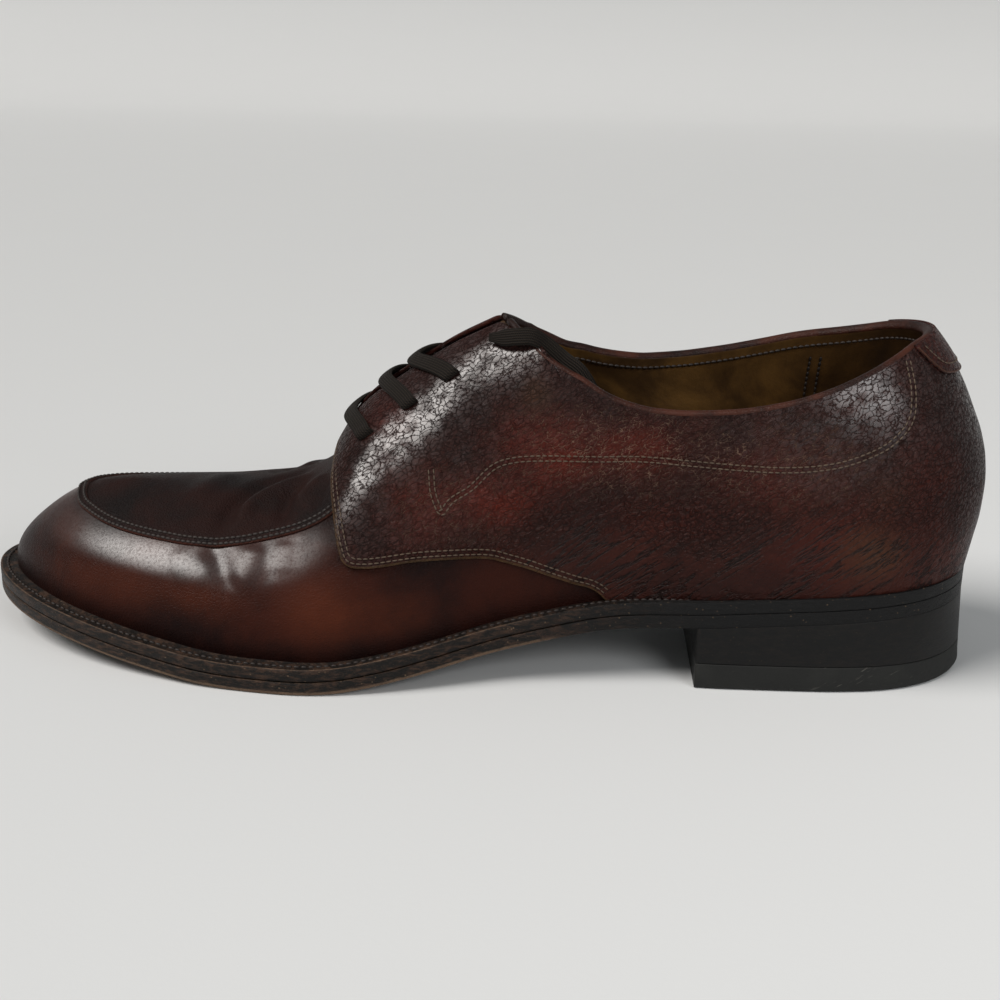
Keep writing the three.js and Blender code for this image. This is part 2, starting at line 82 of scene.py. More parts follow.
# How thick each sheet of leather is drawn, and how far it or its thread stands off what it lies on
VAMP_SHEET = 1.3
QUARTER_SHEET = 1.45
TAB_SHEET = 1.0
LINING_SHEET = 0.9
LINING_OFF = 0.1
TONGUE_SHEET = 2.0
TONGUE_OFF = 2.2
THREAD_OFF = 0.05
LINING_THREAD_OFF = 0.15
# The rows of stitches that the panel doesn't set: from one stitch to the next, and how far off an edge
COLLAR_PITCH = 1.5
LINING_PITCH = 1.9
SEAM_PITCH = 1.75
WELT_PITCH = 2.2
COLLAR_ROW_DROP = 2.7
LINING_ROW_DROP = 2.9
SEAM_ROW_ASIDE = 0.95
WELT_ROW_INSET = 2.4
# How many points the grids and rings have
VAMP_GRID = (480, 76)
QUARTER_GRID = (330, 116)
SOLE_POINTS = 440
HEEL_POINTS = 360
COLLAR_STEP = 0.8
# The camera: its turns in radians, its place in millimetres, its lens and its sideways shift
CAMERA_TURNS = (0.04064, 0.31972, 0.01941)
CAMERA_AT = (28.77, -429.19, 187.18)
CAMERA_LENS = 50.879
CAMERA_SHIFT = -0.0055


def smooth_line(at, values):
    """A smooth curve through a table's rows that never overshoots them and is level outside them."""
    at, values = np.array(at, float), np.array(values, float)
    step = np.diff(at)
    slope = np.diff(values) / step
    tangent = np.r_[slope[0], np.zeros(len(at) - 2), slope[-1]]
    for i in range(1, len(at) - 1):
        if slope[i - 1] * slope[i] > 0:
            before, after = 2 * step[i] + step[i - 1], step[i] + 2 * step[i - 1]
            tangent[i] = (before + after) / (before / slope[i - 1] + after / slope[i])
    samples, reach, blur = 3001, 60, 22.0
    fine = np.linspace(at[0], at[-1], samples)
    i = np.clip(np.searchsorted(at, fine, side="right") - 1, 0, len(at) - 2)
    h = step[i]
    t = (fine - at[i]) / h
    line = (
        values[i] * (1 + 2 * t) * (1 - t) ** 2
        + tangent[i] * h * t * (1 - t) ** 2
        + values[i + 1] * t * t * (3 - 2 * t)
        + tangent[i + 1] * h * t * t * (t - 1)
    )
    kernel = np.exp(-((np.arange(-reach, reach + 1) / blur) ** 2))
    kernel /= kernel.sum()
    padded = np.r_[2 * line[0] - line[reach:0:-1], line, 2 * line[-1] - line[-2 : -reach - 2 : -1]]
    line = np.convolve(padded, kernel, "valid")
    return lambda x: np.interp(x, fine, line)


OUTLINE_AT = [0, 0.08, 0.16, 0.25, 0.35, 0.45, 0.55, 0.62, 0.67, 0.73, 0.8, 0.87, 0.93, 1]
outline_centre = smooth_line(
    OUTLINE_AT,
    [0, 0, -0.006, -0.016, -0.032, -0.052, -0.06, -0.046, -0.022, 0.008, 0.034, 0.05, 0.066, 0.084],
)
outline_width = smooth_line(
    OUTLINE_AT,
    [0.635, 0.655, 0.69, 0.678, 0.615, 0.64, 0.79, 0.912, 0.968, 0.982, 0.945, 0.905, 0.875, 0.82],
)
UNDER_AT = [0, 0.27, 0.36, 0.42, 0.48, 0.54, 0.58, 0.615, 0.645, 0.7, 0.74, 0.78, 0.82, 0.88, 0.94, 1]
heel_share = smooth_line(UNDER_AT, [1.28, 1, 0.885, 0.7, 0.47, 0.235, 0.105, 0.025, 0, 0, 0, 0, 0, 0, 0, 0])
spring_share = smooth_line(UNDER_AT, [0, 0, 0, 0, 0, 0, 0, 0, 0, 0, 0.06, 0.19, 0.34, 0.58, 0.79, 1])
RIDGE_AT = [
    0, 0.19, 0.32, 0.41, 0.46, 0.484, 0.51, 0.54, 0.573, 0.592, 0.605, 0.618, 0.63, 0.643, 0.656, 0.685,
    0.717, 0.764, 0.812, 0.86, 0.892, 0.924, 0.955, 1,
]
ridge_rise = smooth_line(
    RIDGE_AT,
    [1.068, 1.097, 1.07, 1.024, 0.985, 0.962, 0.934, 0.885, 0.813, 0.757, 0.707, 0.644, 0.583, 0.538, 0.507,
     0.47, 0.448, 0.42, 0.4, 0.38, 0.368, 0.338, 0.292, 0.22],
)
ridge_aside = smooth_line(
    RIDGE_AT,
    [0, 0, 0, 0.01, 0.02, 0.02, 0.02, 0.02, 0.02, 0.02, 0.02, 0.02, 0.02, 0.02, 0.022, 0.026,
     0.03, 0.035, 0.04, 0.045, 0.05, 0.055, 0.06, 0.07],
)
SECTION_AT = [0, 0.3, 0.42, 0.5, 0.56, 0.61, 0.68, 0.8, 1]
fullness = smooth_line(SECTION_AT, [2.5, 2.6, 2.7, 2.6, 2.35, 2.25, 2.7, 3, 3])
outer_bulge = smooth_line(SECTION_AT, [0.05, 0.06, 0.09, 0.06, 0.05, 0.04, 0.03, 0.02, 0])
inner_bulge = smooth_line(SECTION_AT, [0.05, 0.08, 0.16, 0.12, 0.08, 0.05, 0.03, 0.02, 0])
back_out = smooth_line(
    [0, 0.1, 0.18, 0.27, 0.35, 0.43, 0.51, 0.6, 0.7, 0.85, 1],
    [-0.1, 0.25, 0.52, 0.6, 0.42, -0.05, -0.8, -1.75, -3.15, -6.6, -14.5],
)
TOPLINE_AT = [
    -0.05, 0.042, 0.08, 0.1, 0.126, 0.166, 0.207, 0.248, 0.29, 0.322, 0.354, 0.375, 0.391, 0.407, 0.423,
    0.446, 0.462, 0.49,
]
topline_outer = smooth_line(
    TOPLINE_AT,
    [0.82, 0.82, 0.805, 0.777, 0.738, 0.685, 0.65, 0.633, 0.63, 0.638, 0.67, 0.71, 0.754, 0.79, 0.832,
     0.905, 0.962, 1.03],
)
topline_inner = smooth_line(
    TOPLINE_AT,
    [0.82, 0.82, 0.8, 0.78, 0.762, 0.745, 0.72, 0.7, 0.69, 0.692, 0.71, 0.732, 0.758, 0.78, 0.82,
     0.88, 0.93, 1.0],
)
QUARTER_AT = [
    0.345, 0.37, 0.395, 0.416, 0.436, 0.456, 0.476, 0.506, 0.543, 0.5875, 0.606, 0.613, 0.6185, 0.6225,
    0.6235, 0.622, 0.621,
]
QUARTER_UP = [
    -0.08, 0.04, 0.09, 0.132, 0.172, 0.208, 0.243, 0.272, 0.297, 0.305, 0.322, 0.37, 0.468, 0.547,
    0.63, 0.71, 0.9,
]
APRON_AT = [0.6, 0.637, 0.67, 0.72, 0.755, 0.787, 0.82, 0.853, 0.878, 0.897, 0.905]
APRON_HALF = [1, 0.99, 1, 1.05, 1.02, 0.95, 0.85, 0.7, 0.52, 0.3, 0]
APRON_TAILS = (140.0, 165.0)
APRON_BACK = 184.0
SEAM_BACK = 178
TAB_AT = [-0.05, 0.03, 0.055, 0.072, 0.085, 0.1]
TAB_UP = [0.685, 0.685, 0.7, 0.745, 0.79, 0.83]
TAB_ROW_AT = (3, 9, 14, 18, 21.5, 24)
EYELET_AT = [0.59, 0.552, 0.514, 0.48]
EYELET_ASIDE = [0.2, 0.179, 0.154, 0.132]
EYELET_FORWARD = [0.018, 0.026, 0.038, 0]
LACE_END_AT = [0.4809, 0.4675, 0.4522, 0.4389, 0.4271, 0.4105, 0.3984, 0.3908, 0.3806, 0.3694, 0.3615]
LACE_END_UP = [0.94, 0.933, 0.931, 0.92, 0.883, 0.823, 0.79, 0.756, 0.69, 0.591, 0.484]
LACE_END_ASIDE = [-0.115, -0.135, -0.156, -0.157, -0.144, -0.148, -0.17, -0.181, -0.19, -0.194, -0.197]
LACE_THICK = 1.7
LACE_SIDES = 20
LACE_STEP = 0.6
TIP_LENGTH = 14.0
TIP_RADIUS = 1.3
SIDES = ((-1, topline_outer), (1, topline_inner))


def step_up(low, high, x):
    """0 below low, 1 above high, and a soft rise between."""
    t = np.clip((np.asarray(x, float) - low) / (high - low), 0, 1)
    return t * t * (3 - 2 * t)


def ends(share):
    """1 along the middle of a plan outline, falling to 0 at its round ends."""
    heel = np.sqrt(np.clip(1 - np.clip((HEEL_ROUND - share) / HEEL_ROUND, 0, 1) ** 2.1, 0, 1))
    toe = np.sqrt(np.clip(1 - np.clip((share - 1 + TOE_ROUND) / TOE_ROUND, 0, 1) ** 2, 0, 1))
    return heel * toe


def underside(along):
    """How high the sole's underside is."""
    share = along / SOLE_LENGTH
    return HEEL_HEIGHT * heel_share(share) + TOE_SPRING * spring_share(share)


def upper_foot(along):
    """How high the upper's lower end is, on the welt."""
    return underside(along) + SOLE_EDGE + GAP


def ridge_height(along):
    """How high the last's ridge is, its highest line from heel to toe."""
    return upper_foot(along) + INSTEP_RISE * ridge_rise(along / SOLE_LENGTH)


def ridge_y(along):
    """How far to the inner side the ridge runs."""
    return BALL_WIDTH * ridge_aside(along / SOLE_LENGTH)


def up_from(share, up):
    """The height of a table's row, given as shares of the sole's length and of the instep's rise."""
    return upper_foot(np.asarray(share) * SOLE_LENGTH) + INSTEP_RISE * np.asarray(up)


def back_of(level):
    """Where the last begins at the back of the heel, at a level from its foot (0) to its ridge (1)."""
    return WELT_SHOWS[0] * 0.4 - HEEL_CURVE * back_out(level)


TOE_START = UPPER_LENGTH * 0.85


def toe_of(level):
    """Where the last ends at the toe, at a level."""
    return TOE_START + (UPPER_LENGTH - TOE_START) * np.sqrt(np.clip(1 - level**TOE_CURVE, 0, 1))


def facing_half(along):
    """Half the gap between the two facings."""
    share = np.clip((along / SOLE_LENGTH - FACING_START) / FACING_SPAN, 0, 1)
    return (FACING_GAP[0] + (FACING_GAP[1] - FACING_GAP[0]) * share) / 2


def last_point(turn, rise):
    """Points of the last. turn runs round the shoe from the back of the heel, the outer side first,
    and rise from the upper's foot (0) to the ridge (a quarter turn)."""
    share = (1 - np.cos(turn)) / 2
    side = np.where(np.sin(turn) >= 0, -1.0, 1.0)
    level = np.clip(np.sin(rise), 0, 1)
    shows = WELT_SHOWS[0] + (WELT_SHOWS[1] - WELT_SHOWS[0]) * step_up(0.1, 0.55, share)
    half = (BALL_WIDTH * outline_width(share) / 2 - shows) * ends(share)
    bulge = np.where(side < 0, outer_bulge(share), inner_bulge(share))
    swell = 27 / 4 * level * (1 - level) ** 2
    across = (1 + bulge * swell) * np.sqrt(np.clip(1 - level ** fullness(share), 0, 1))
    across = across * np.where(np.cos(rise) < 0, -1.0, 1.0)
    back, toe = back_of(level), toe_of(level)
    along = back + (toe - back) * share
    centre = BALL_WIDTH * outline_centre(share) * (1 - level) + ridge_y(along) * level
    foot = upper_foot(along)
    z = foot + (ridge_height(along) - foot) * level
    return np.stack([SOLE_LENGTH / 2 - along, centre + side * half * across, z], -1)


def last_skin(turn, rise):
    """Points of the last and the directions that face out of it there."""
    h = 0.004
    place = last_point(turn, rise)
    round_it = last_point(turn + h, rise) - last_point(turn - h, rise)
    up_it = last_point(turn, rise + h) - last_point(turn, np.maximum(rise - h, 0))
    return place, unit(np.cross(up_it, round_it))


def unit(v):
    return v / np.maximum(np.linalg.norm(v, axis=-1, keepdims=True), 1e-9)


def from_side(along, height):
    """turn and rise of the outer side's point that is seen from the side at along and height."""
    foot = upper_foot(along)
    level = np.clip((height - foot) / (ridge_height(along) - foot), 0, 1)
    share = np.clip((along - back_of(level)) / (toe_of(level) - back_of(level)), 0, 1)
    return np.arccos(1 - 2 * share), np.arcsin(level)


def from_plan(along, y):
    """turn and rise of the point that is seen from above at along and y."""
    along, y = np.broadcast_arrays(np.asarray(along, float), np.asarray(y, float))
    over = np.clip((along - TOE_START) / (UPPER_LENGTH - TOE_START), 0, 1)
    top = np.clip(1 - over**2, 0, 1) ** (1 / TOE_CURVE)
    centre = BALL_WIDTH * outline_centre(1.0) * (1 - top) + ridge_y(along) * top
    side = np.where(y < centre, -1.0, 1.0)
    low, high = np.zeros_like(along), np.arcsin(top)
    for _ in range(36):
        rise = (low + high) / 2
        level = np.sin(rise)
        back, toe = back_of(level), toe_of(level)
        share = np.clip((along - back) / (toe - back), 0, 1)
        turn = np.arccos(1 - 2 * share)
        outside = (last_point(side * -turn, rise)[..., 1] - y) * side > 0
        low, high = np.where(outside, rise, low), np.where(outside, high, rise)
    return -side * turn, rise


def spline(points, count=None, step=None):
    """A smooth path through points, cut into even steps."""
    p = np.array(points, float)
    p = np.vstack([2 * p[0] - p[1], p, 2 * p[-1] - p[-2]])
    pieces = 24
    t = np.linspace(0, 1, pieces, endpoint=False)[:, None]
    parts = []
    for a, b, c, d in zip(p, p[1:], p[2:], p[3:]):
        second, third = 2 * a - 5 * b + 4 * c - d, 3 * b - a - 3 * c + d
        parts.append(0.5 * (2 * b + (c - a) * t + second * t**2 + third * t**3))
    line = np.vstack([*parts, p[-2][None]])
    return even(line, count, step)


def even(line, count=None, step=None):
    """A path's points moved along it to even distances."""
    run = np.r_[0, np.cumsum(np.linalg.norm(np.diff(line, axis=0), axis=1))]
    keep = np.r_[True, np.diff(run) > 1e-9]
    line, run = line[keep], run[keep]
    if count is None:
        count = max(2, int(round(run[-1] / step)) + 1)
    at = np.linspace(0, run[-1], count)
    return np.stack([np.interp(at, run, line[:, k]) for k in range(line.shape[1])], -1)


def soften(values, reach, axis=0):
    """A gentle average along a grid's axis, with its ends kept."""
    kernel = np.exp(-((np.arange(-3 * reach, 3 * reach + 1) / reach) ** 2))
    kernel /= kernel.sum()
    n = 3 * reach
    v = np.moveaxis(values, axis, 0)
    padded = np.concatenate([2 * v[:1] - v[n:0:-1], v, 2 * v[-1:] - v[-2 : -n - 2 : -1]])
    out = sum(k * padded[i : i + len(v)] for i, k in enumerate(kernel))
    return np.moveaxis(out, 0, axis)


# The vamp's folds in millimetres: a path of (along, y, height), how far it lifts the leather, how wide it is
FOLDS = [
    ([(236, -30, 39), (233, -33, 38), (230, -36, 35), (228, -39, 32), (226, -42, 29), (225, -45, 25)],
     -1.0, 3.6),
    ([(246, -32, 37), (242, -36, 34), (237, -39, 31), (232, -42, 28)], 0.34, 5.6),
    ([(219, -33, 40), (220, -36, 36), (222, -40, 32), (224, -43, 28)], 0.5, 4.4),
    ([(216, -33, 41), (215, -37, 37), (214, -40, 33), (213, -43, 29)], -0.22, 2.8),
    ([(210, -33, 41), (210, -37, 37), (210, -41, 32)], 0.26, 4.0),
    ([(206, -33, 42), (206, -37, 38), (206, -40, 34)], -0.2, 2.4),
    ([(248, -32, 36), (246, -36, 32), (243, -40, 27)], -0.12, 1.8),
    ([(232, -30, 41), (231, -23, 43), (230, -16, 45), (228, -10, 47), (224, -3, 48), (218, 1, 49),
      (211, 4, 51), (206, 5, 53)], -2.3, 3.6),
    ([(227, -28, 42), (226, -22, 44), (225, -16, 46), (221, -11, 48), (216, -7, 50), (211, -4, 51),
      (206, -1, 54)], 1.9, 3.6),
    ([(244, -14, 45), (242, -4, 46), (239, 6, 47), (234, 17, 46)], 1.1, 5.5),
    ([(213, -28, 44), (213, -21, 47), (213, -15, 49), (211, -11, 50), (208, -8, 52)], -1.6, 2.6),
    ([(208, -22, 48), (207, -16, 50), (204, -12, 53), (200, -10, 56)], 1.3, 3.0),
    ([(202, -26, 48), (201, -20, 51), (198, -15, 55)], -1.1, 2.2),
    ([(222, 10, 48), (220, 18, 47), (219, 26, 44)], -1.4, 3.0),
    ([(212, 12, 50), (210, 20, 48), (209, 28, 45)], 1.0, 3.2),
]
# Long soft wrinkles of the quarters, in the same form
QUARTER_FOLDS = [
    ([(188, -30, 66), (181, -30, 74), (174, -28, 82)], 0.3, 4.0),
    ([(190, -30, 58), (181, -31, 66), (172, -30, 75), (164, -27, 83)], -0.2, 2.4),
    ([(168, -34, 56), (158, -33, 66), (149, -31, 76), (142, -28, 86)], -0.4, 1.5),
    ([(150, -34, 42), (134, -34, 52), (118, -33, 60)], -0.3, 1.3),
    ([(128, -34, 38), (112, -34, 48), (96, -34, 55)], -0.35, 1.4),
    ([(100, -34, 36), (84, -34, 46), (66, -34, 54)], -0.3, 1.4),
    ([(74, -34, 33), (58, -34, 44), (40, -33, 55), (28, -30, 64)], -0.35, 1.5),
    ([(48, -34, 40), (34, -32, 52), (20, -26, 62)], -0.3, 1.4),
    ([(70, -33, 62), (54, -33, 68), (40, -30, 76), (30, -27, 84)], -0.35, 1.4),
]
# Patches of the upper's colour: name, middle (along, height), reach along and up, strength; the darkening
# patches are painted shade
VAMP_PATCHES = [
    ("warm", 262, 25.5, 30, 6.5, 0.42), ("warm", 197, 24, 12, 10, 0.75), ("warm", 283, 36, 8, 5, 0.4),
    ("warm", 232, 25, 12, 6, 0.3), ("warm", 176, 22, 14, 8, 0.4), ("warm", 246, 36, 20, 3, 0.3),
]
QUARTER_PATCHES = [
    ("warm", 132, 71, 17, 10, 1.0), ("warm", 146, 57, 13, 8, 0.95), ("warm", 172, 54, 13, 10, 0.55),
    ("warm", 178, 76, 7, 5, 0.5), ("warm", 70, 66, 16, 9, 0.35), ("warm", 105, 72, 12, 8, 0.6),
    ("warm", 22, 70, 12, 14, 0.3), ("warm", 40, 46, 26, 14, 0.35), ("warm", 100, 52, 20, 6, 0.25),
    ("orange", 37, 44, 10, 9, 0.36), ("orange", 136, 86, 5, 5, 0.25), ("orange", 33, 62, 6, 6, 0.1),
    ("pale", 112, 72, 32, 13, 1.0), ("pale", 160, 54, 20, 12, 0.55), ("pale", 62, 70, 26, 12, 0.7),
    # painted shade: one darkening patch along the quarter's front edge, one low above the welt
    ("dusk", 184, 50, 7, 14, 0.5), ("dusk", 100, 34, 40, 6, 0.4),
]


def line_distance(places, path):
    """How far places lie from a path, and how far along it (0 to 1) the nearest point is."""
    path = np.array(path, float)
    best = np.full(places.shape[:-1], 1e9)
    share = np.zeros(places.shape[:-1])
    for i, (a, b) in enumerate(zip(path, path[1:])):
        d = b - a
        t = np.clip(((places - a) @ d) / (d @ d), 0, 1)
        away = np.linalg.norm(places - a - t[..., None] * d, axis=-1)
        nearer = away < best
        best = np.where(nearer, away, best)
        share = np.where(nearer, (i + t) / (len(path) - 1), share)
    return best, share


def relief(place, folds=FOLDS):
    """How far the folds lift the leather at these places."""
    where = place.copy()
    where[..., 0] = SOLE_LENGTH / 2 - place[..., 0]
    lift = np.zeros(place.shape[:-1])
    for path, depth, width in folds:
        smooth = spline(path, count=24)
        away, share = line_distance(where, smooth)
        fade = step_up(-0.02, 0.25, share) * step_up(-0.02, 0.3, 1 - share)
        lift += depth * fade * np.exp(-((away / width) ** 2))
    return lift


def finish_mesh(name, points, faces, finish, replaces=(), uv=None, extra=None):
    """A mesh piece from points in the shoe's millimetres and lists of corner numbers.
    extra holds the values of its points that lead its finish's colour and gloss."""
    mesh = bpy.data.meshes.new(name)
    points = (np.asarray(points, float).reshape(-1, 3) + SHIFT) * 0.001
    mesh.from_pydata(points.tolist(), [], [list(f) for f in faces])
    mesh.validate()
    mesh.update()
    if uv is not None:
        layer = mesh.uv_layers.new(name="cloth")
        corners = np.zeros(len(mesh.loops), np.int32)
        mesh.loops.foreach_get("vertex_index", corners)
        layer.data.foreach_set("uv", np.asarray(uv, np.float32)[corners].ravel())
    for key, values in (extra or {}).items():
        attribute = mesh.attributes.new(key, "FLOAT", "POINT")
        attribute.data.foreach_set("value", np.asarray(values, np.float32).ravel())
    mesh.shade_smooth()
    mesh.materials.append(finish)
    return settle(name, mesh, replaces)


def settle(name, mesh, replaces=()):
    """The mesh's piece rides on the root body, takes its finish from a slot and stands for its solids."""
    piece = bpy.data.objects.new(name, mesh)
    bpy.context.scene.collection.objects.link(piece)
    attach(piece, "root")
    if replaces:
        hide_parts(*replaces)
    return piece


def grid_faces(rows, columns, wrap=False, start=0, flip=False):
    """Four-cornered faces over a grid of points laid out row by row."""
    i, j = np.meshgrid(np.arange(rows - 1), np.arange(columns if wrap else columns - 1), indexing="ij")
    k = (j + 1) % columns
    quads = np.stack([i * columns + j, i * columns + k, (i + 1) * columns + k, (i + 1) * columns + j], -1)
    quads = quads.reshape(-1, 4) + start
    return quads[:, ::-1] if flip else quads


def panel(top, normal, depth, edge=0.35, rounds=3):
    """A sheet of leather: the grid top is its face, and its rim turns down round a soft edge by depth."""
    rows, columns = top.shape[:2]
    rim = np.r_[
        np.arange(columns),
        np.arange(1, rows) * columns + columns - 1,
        (rows - 1) * columns + np.arange(columns - 2, -1, -1),
        np.arange(rows - 2, 0, -1) * columns,
    ]
    flat, out = top.reshape(-1, 3), unit(normal.reshape(-1, 3)[rim])
    border = flat[rim]
    run = unit(np.roll(border, -1, 0) - np.roll(border, 1, 0))
    away = unit(np.cross(run, out))
    centre = flat.mean(0)
    if np.sum((border - centre) * away) < 0:
        away = -away
    points, faces = [flat], [grid_faces(rows, columns)]
    last, total = rim, len(flat)
    for n in range(1, rounds + 2):
        if n <= rounds:
            angle = (math.pi / 2) * n / rounds
            ring = border + away * edge * math.sin(angle) - out * edge * (1 - math.cos(angle))
        else:
            ring = border + away * edge - out * depth
        new = total + np.arange(len(rim))
        total += len(rim)
        points.append(ring)
        faces.append(np.stack([last, new, np.roll(new, -1), np.roll(last, -1)], -1))
        last = new
    under = flat - normal.reshape(-1, 3) * depth
    start = total
    points.append(under)
    faces.append(grid_faces(rows, columns, start=start, flip=True))
    faces.append(np.stack([last, start + rim, np.roll(start + rim, -1), np.roll(last, -1)], -1))
    points, faces = np.vstack(points), np.vstack(faces)
    a, b, c = (points[faces[: (rows - 1) * (columns - 1), k]] for k in (0, 1, 2))
    facing = np.sum(np.cross(b - a, c - a) * normal[:-1, :-1].reshape(-1, 3))
    return points, faces if facing > 0 else faces[:, ::-1]


def outward(points, faces):
    """A piece's faces, turned over if the volume summed over their first three corners is below zero."""
    a, b, c = (points[[face[k] for face in faces]] for k in range(3))
    return faces if np.sum(np.cross(b, c) * a) > 0 else [face[::-1] for face in faces]


def wall_faces(rows, count):
    """Faces between rings of points laid one on another."""
    return [tuple(face) for face in grid_faces(rows, count, wrap=True).tolist()]


def fan_closed(rings):
    """Points and faces of rings laid one on another, each end closed round a middle point."""
    rings = np.array(rings)
    rows, count = rings.shape[:2]
    points = np.vstack([rings.reshape(-1, 3), rings[0].mean(0), rings[-1].mean(0)])
    faces = wall_faces(rows, count)
    middle = rows * count
    last = middle - count
    for k in range(count):
        after = (k + 1) % count
        faces += [(after, k, middle), (last + k, last + after, middle + 1)]
    return points, outward(points, faces)


def cross_closed(rings):
    """The same for a ring that is drawn from one end of the sole round and back, closed straight across."""
    rings = np.array(rings)
    rows, count = rings.shape[:2]
    faces = wall_faces(rows, count)
    for row, flip in ((0, True), (rows - 1, False)):
        for k in range(count // 2):
            corners = (k, k + 1, (count - k - 1) % count, (count - k) % count)
            face = tuple(dict.fromkeys(row * count + n for n in corners))
            if len(face) > 2:
                faces.append(face[::-1] if flip else face)
    points = rings.reshape(-1, 3)
    return points, outward(points, faces)


def tube(path, profile, normal):
    """Points and faces of a profile of (aside, out) points carried along a path."""
    run = unit(np.gradient(path, axis=0))
    out = unit(normal - np.sum(normal * run, -1, keepdims=True) * run)
    aside = np.cross(run, out)
    profile = np.broadcast_to(profile, (len(path), *np.shape(profile)[-2:]))
    return fan_closed(path[:, None] + aside[:, None] * profile[..., :1] + out[:, None] * profile[..., 1:])


def circle(count):
    """The sines and cosines of even angles all round, as (aside, out) points."""
    angle = np.linspace(0, 2 * np.pi, count, endpoint=False)
    return np.stack([np.sin(angle), np.cos(angle)], -1)


def apron_loop(step=1.0):
    """The apron's edge from above, (along, y), from behind the throat on the outer side round the toe."""
    t = np.sin(np.pi / 2 * np.linspace(0, 1, 17))
    share = APRON_AT[0] + (APRON_AT[-1] - APRON_AT[0]) * t
    along = np.r_[APRON_TAILS, share * SOLE_LENGTH]
    half = APRON_WIDTH / 2 * np.r_[1, 1, smooth_line(APRON_AT, APRON_HALF)(share)]
    outer = np.stack([along, ridge_y(along) - half], -1)
    inner = np.stack([along, ridge_y(along) + half], -1)[::-1][1:]
    return spline(np.vstack([outer, inner]), step=step)


class Wire:
    """A value in a material's nodes, so that shader maths reads as plain expressions."""

    def __init__(self, finish, socket):
        self.finish, self.socket = finish, socket

    def maths(self, operation, *others):
        return self.finish.node("ShaderNodeMath", {"operation": operation}, dict(enumerate((self, *others))))

    def __add__(self, other):
        return self.maths("ADD", other)

    def __sub__(self, other):
        return self.maths("SUBTRACT", other)

    def __rsub__(self, other):
        return self.finish.node("ShaderNodeMath", {"operation": "SUBTRACT"}, {0: other, 1: self})

    def __mul__(self, other):
        return self.maths("MULTIPLY", other)

    def between(self, low, high, to_low=0.0, to_high=1.0):
        """A soft rise from to_low at low to to_high at high."""
        values = {"Value": self, "From Min": low, "From Max": high, "To Min": to_low, "To Max": to_high}
        return self.finish.node("ShaderNodeMapRange", {"interpolation_type": "SMOOTHSTEP"}, values)


class Finish:
    """A material and the nodes that give it its looks."""

    def __init__(self, name):
        self.material = bpy.data.materials.new(name)
        self.material.use_nodes = True
        self.tree = self.material.node_tree
        self.tree.nodes.clear()
        self.output = self.tree.nodes.new("ShaderNodeOutputMaterial")
        self.shader = self.tree.nodes.new("ShaderNodeBsdfPrincipled")
        self.tree.links.new(self.shader.outputs[0], self.output.inputs["Surface"])
        self.place = self.node("ShaderNodeTexCoord", out="Object")

    def node(self, kind, settings=None, values=None, out=0):
        """A node of a type, its settings first, then the values or wires of its sockets."""
        node = self.tree.nodes.new(kind)
        for key, value in (settings or {}).items():
            setattr(node, key, value)
        for key, value in (values or {}).items():
            self.put(node.inputs[key], value)
        return Wire(self, node.outputs[out])

    def put(self, socket, value):
        """Gives a socket a wire, a colour or a plain value."""
        if isinstance(value, Wire):
            self.tree.links.new(value.socket, socket)
        elif socket.type == "RGBA" and len(value) == 3:
            socket.default_value = (*value, 1)
        else:
            socket.default_value = value

    def moved(self, scale=(1, 1, 1), turn=(0, 0, 0), source=None):
        """The piece's own coordinates, or source, turned and scaled."""
        values = {"Vector": source or self.place, "Rotation": turn, "Scale": scale}
        return self.node("ShaderNodeMapping", None, values)

    def noise(self, scale, detail=4.0, rough=0.55, source=None, warp=0.0, out=0):
        values = {"Vector": source or self.place, "Scale": scale, "Detail": detail}
        values.update({"Roughness": rough, "Distortion": warp})
        return self.node("ShaderNodeTexNoise", None, values, out)

    def cells(self, scale, source=None, feature="DISTANCE_TO_EDGE"):
        """A pattern of cells: how far each place lies from its cell's edge, or with F1 from its middle."""
        values = {"Vector": source or self.place, "Scale": scale}
        return self.node("ShaderNodeTexVoronoi", {"feature": feature}, values)

    def mix(self, share, first, second):
        node = self.tree.nodes.new("ShaderNodeMix")
        node.data_type = "RGBA"
        for key, value in ((0, share), (6, first), (7, second)):
            self.put(node.inputs[key], value)
        return Wire(self, node.outputs[2])

    def attribute(self, name):
        """A value that the mesh carries at its points."""
        return self.node("ShaderNodeAttribute", {"attribute_name": name}, out="Fac")

    def bump(self, height, distance, strength=1.0, under=None):
        values = {"Height": height, "Distance": distance, "Strength": strength}
        if under is not None:
            values["Normal"] = under
        return self.node("ShaderNodeBump", None, values)

    def set(self, **values):
        """Sets the shader's sockets; an underscore in a name stands for a space."""
        for key, value in values.items():
            self.put(self.shader.inputs[key.replace("_", " ")], value)
        return self.material


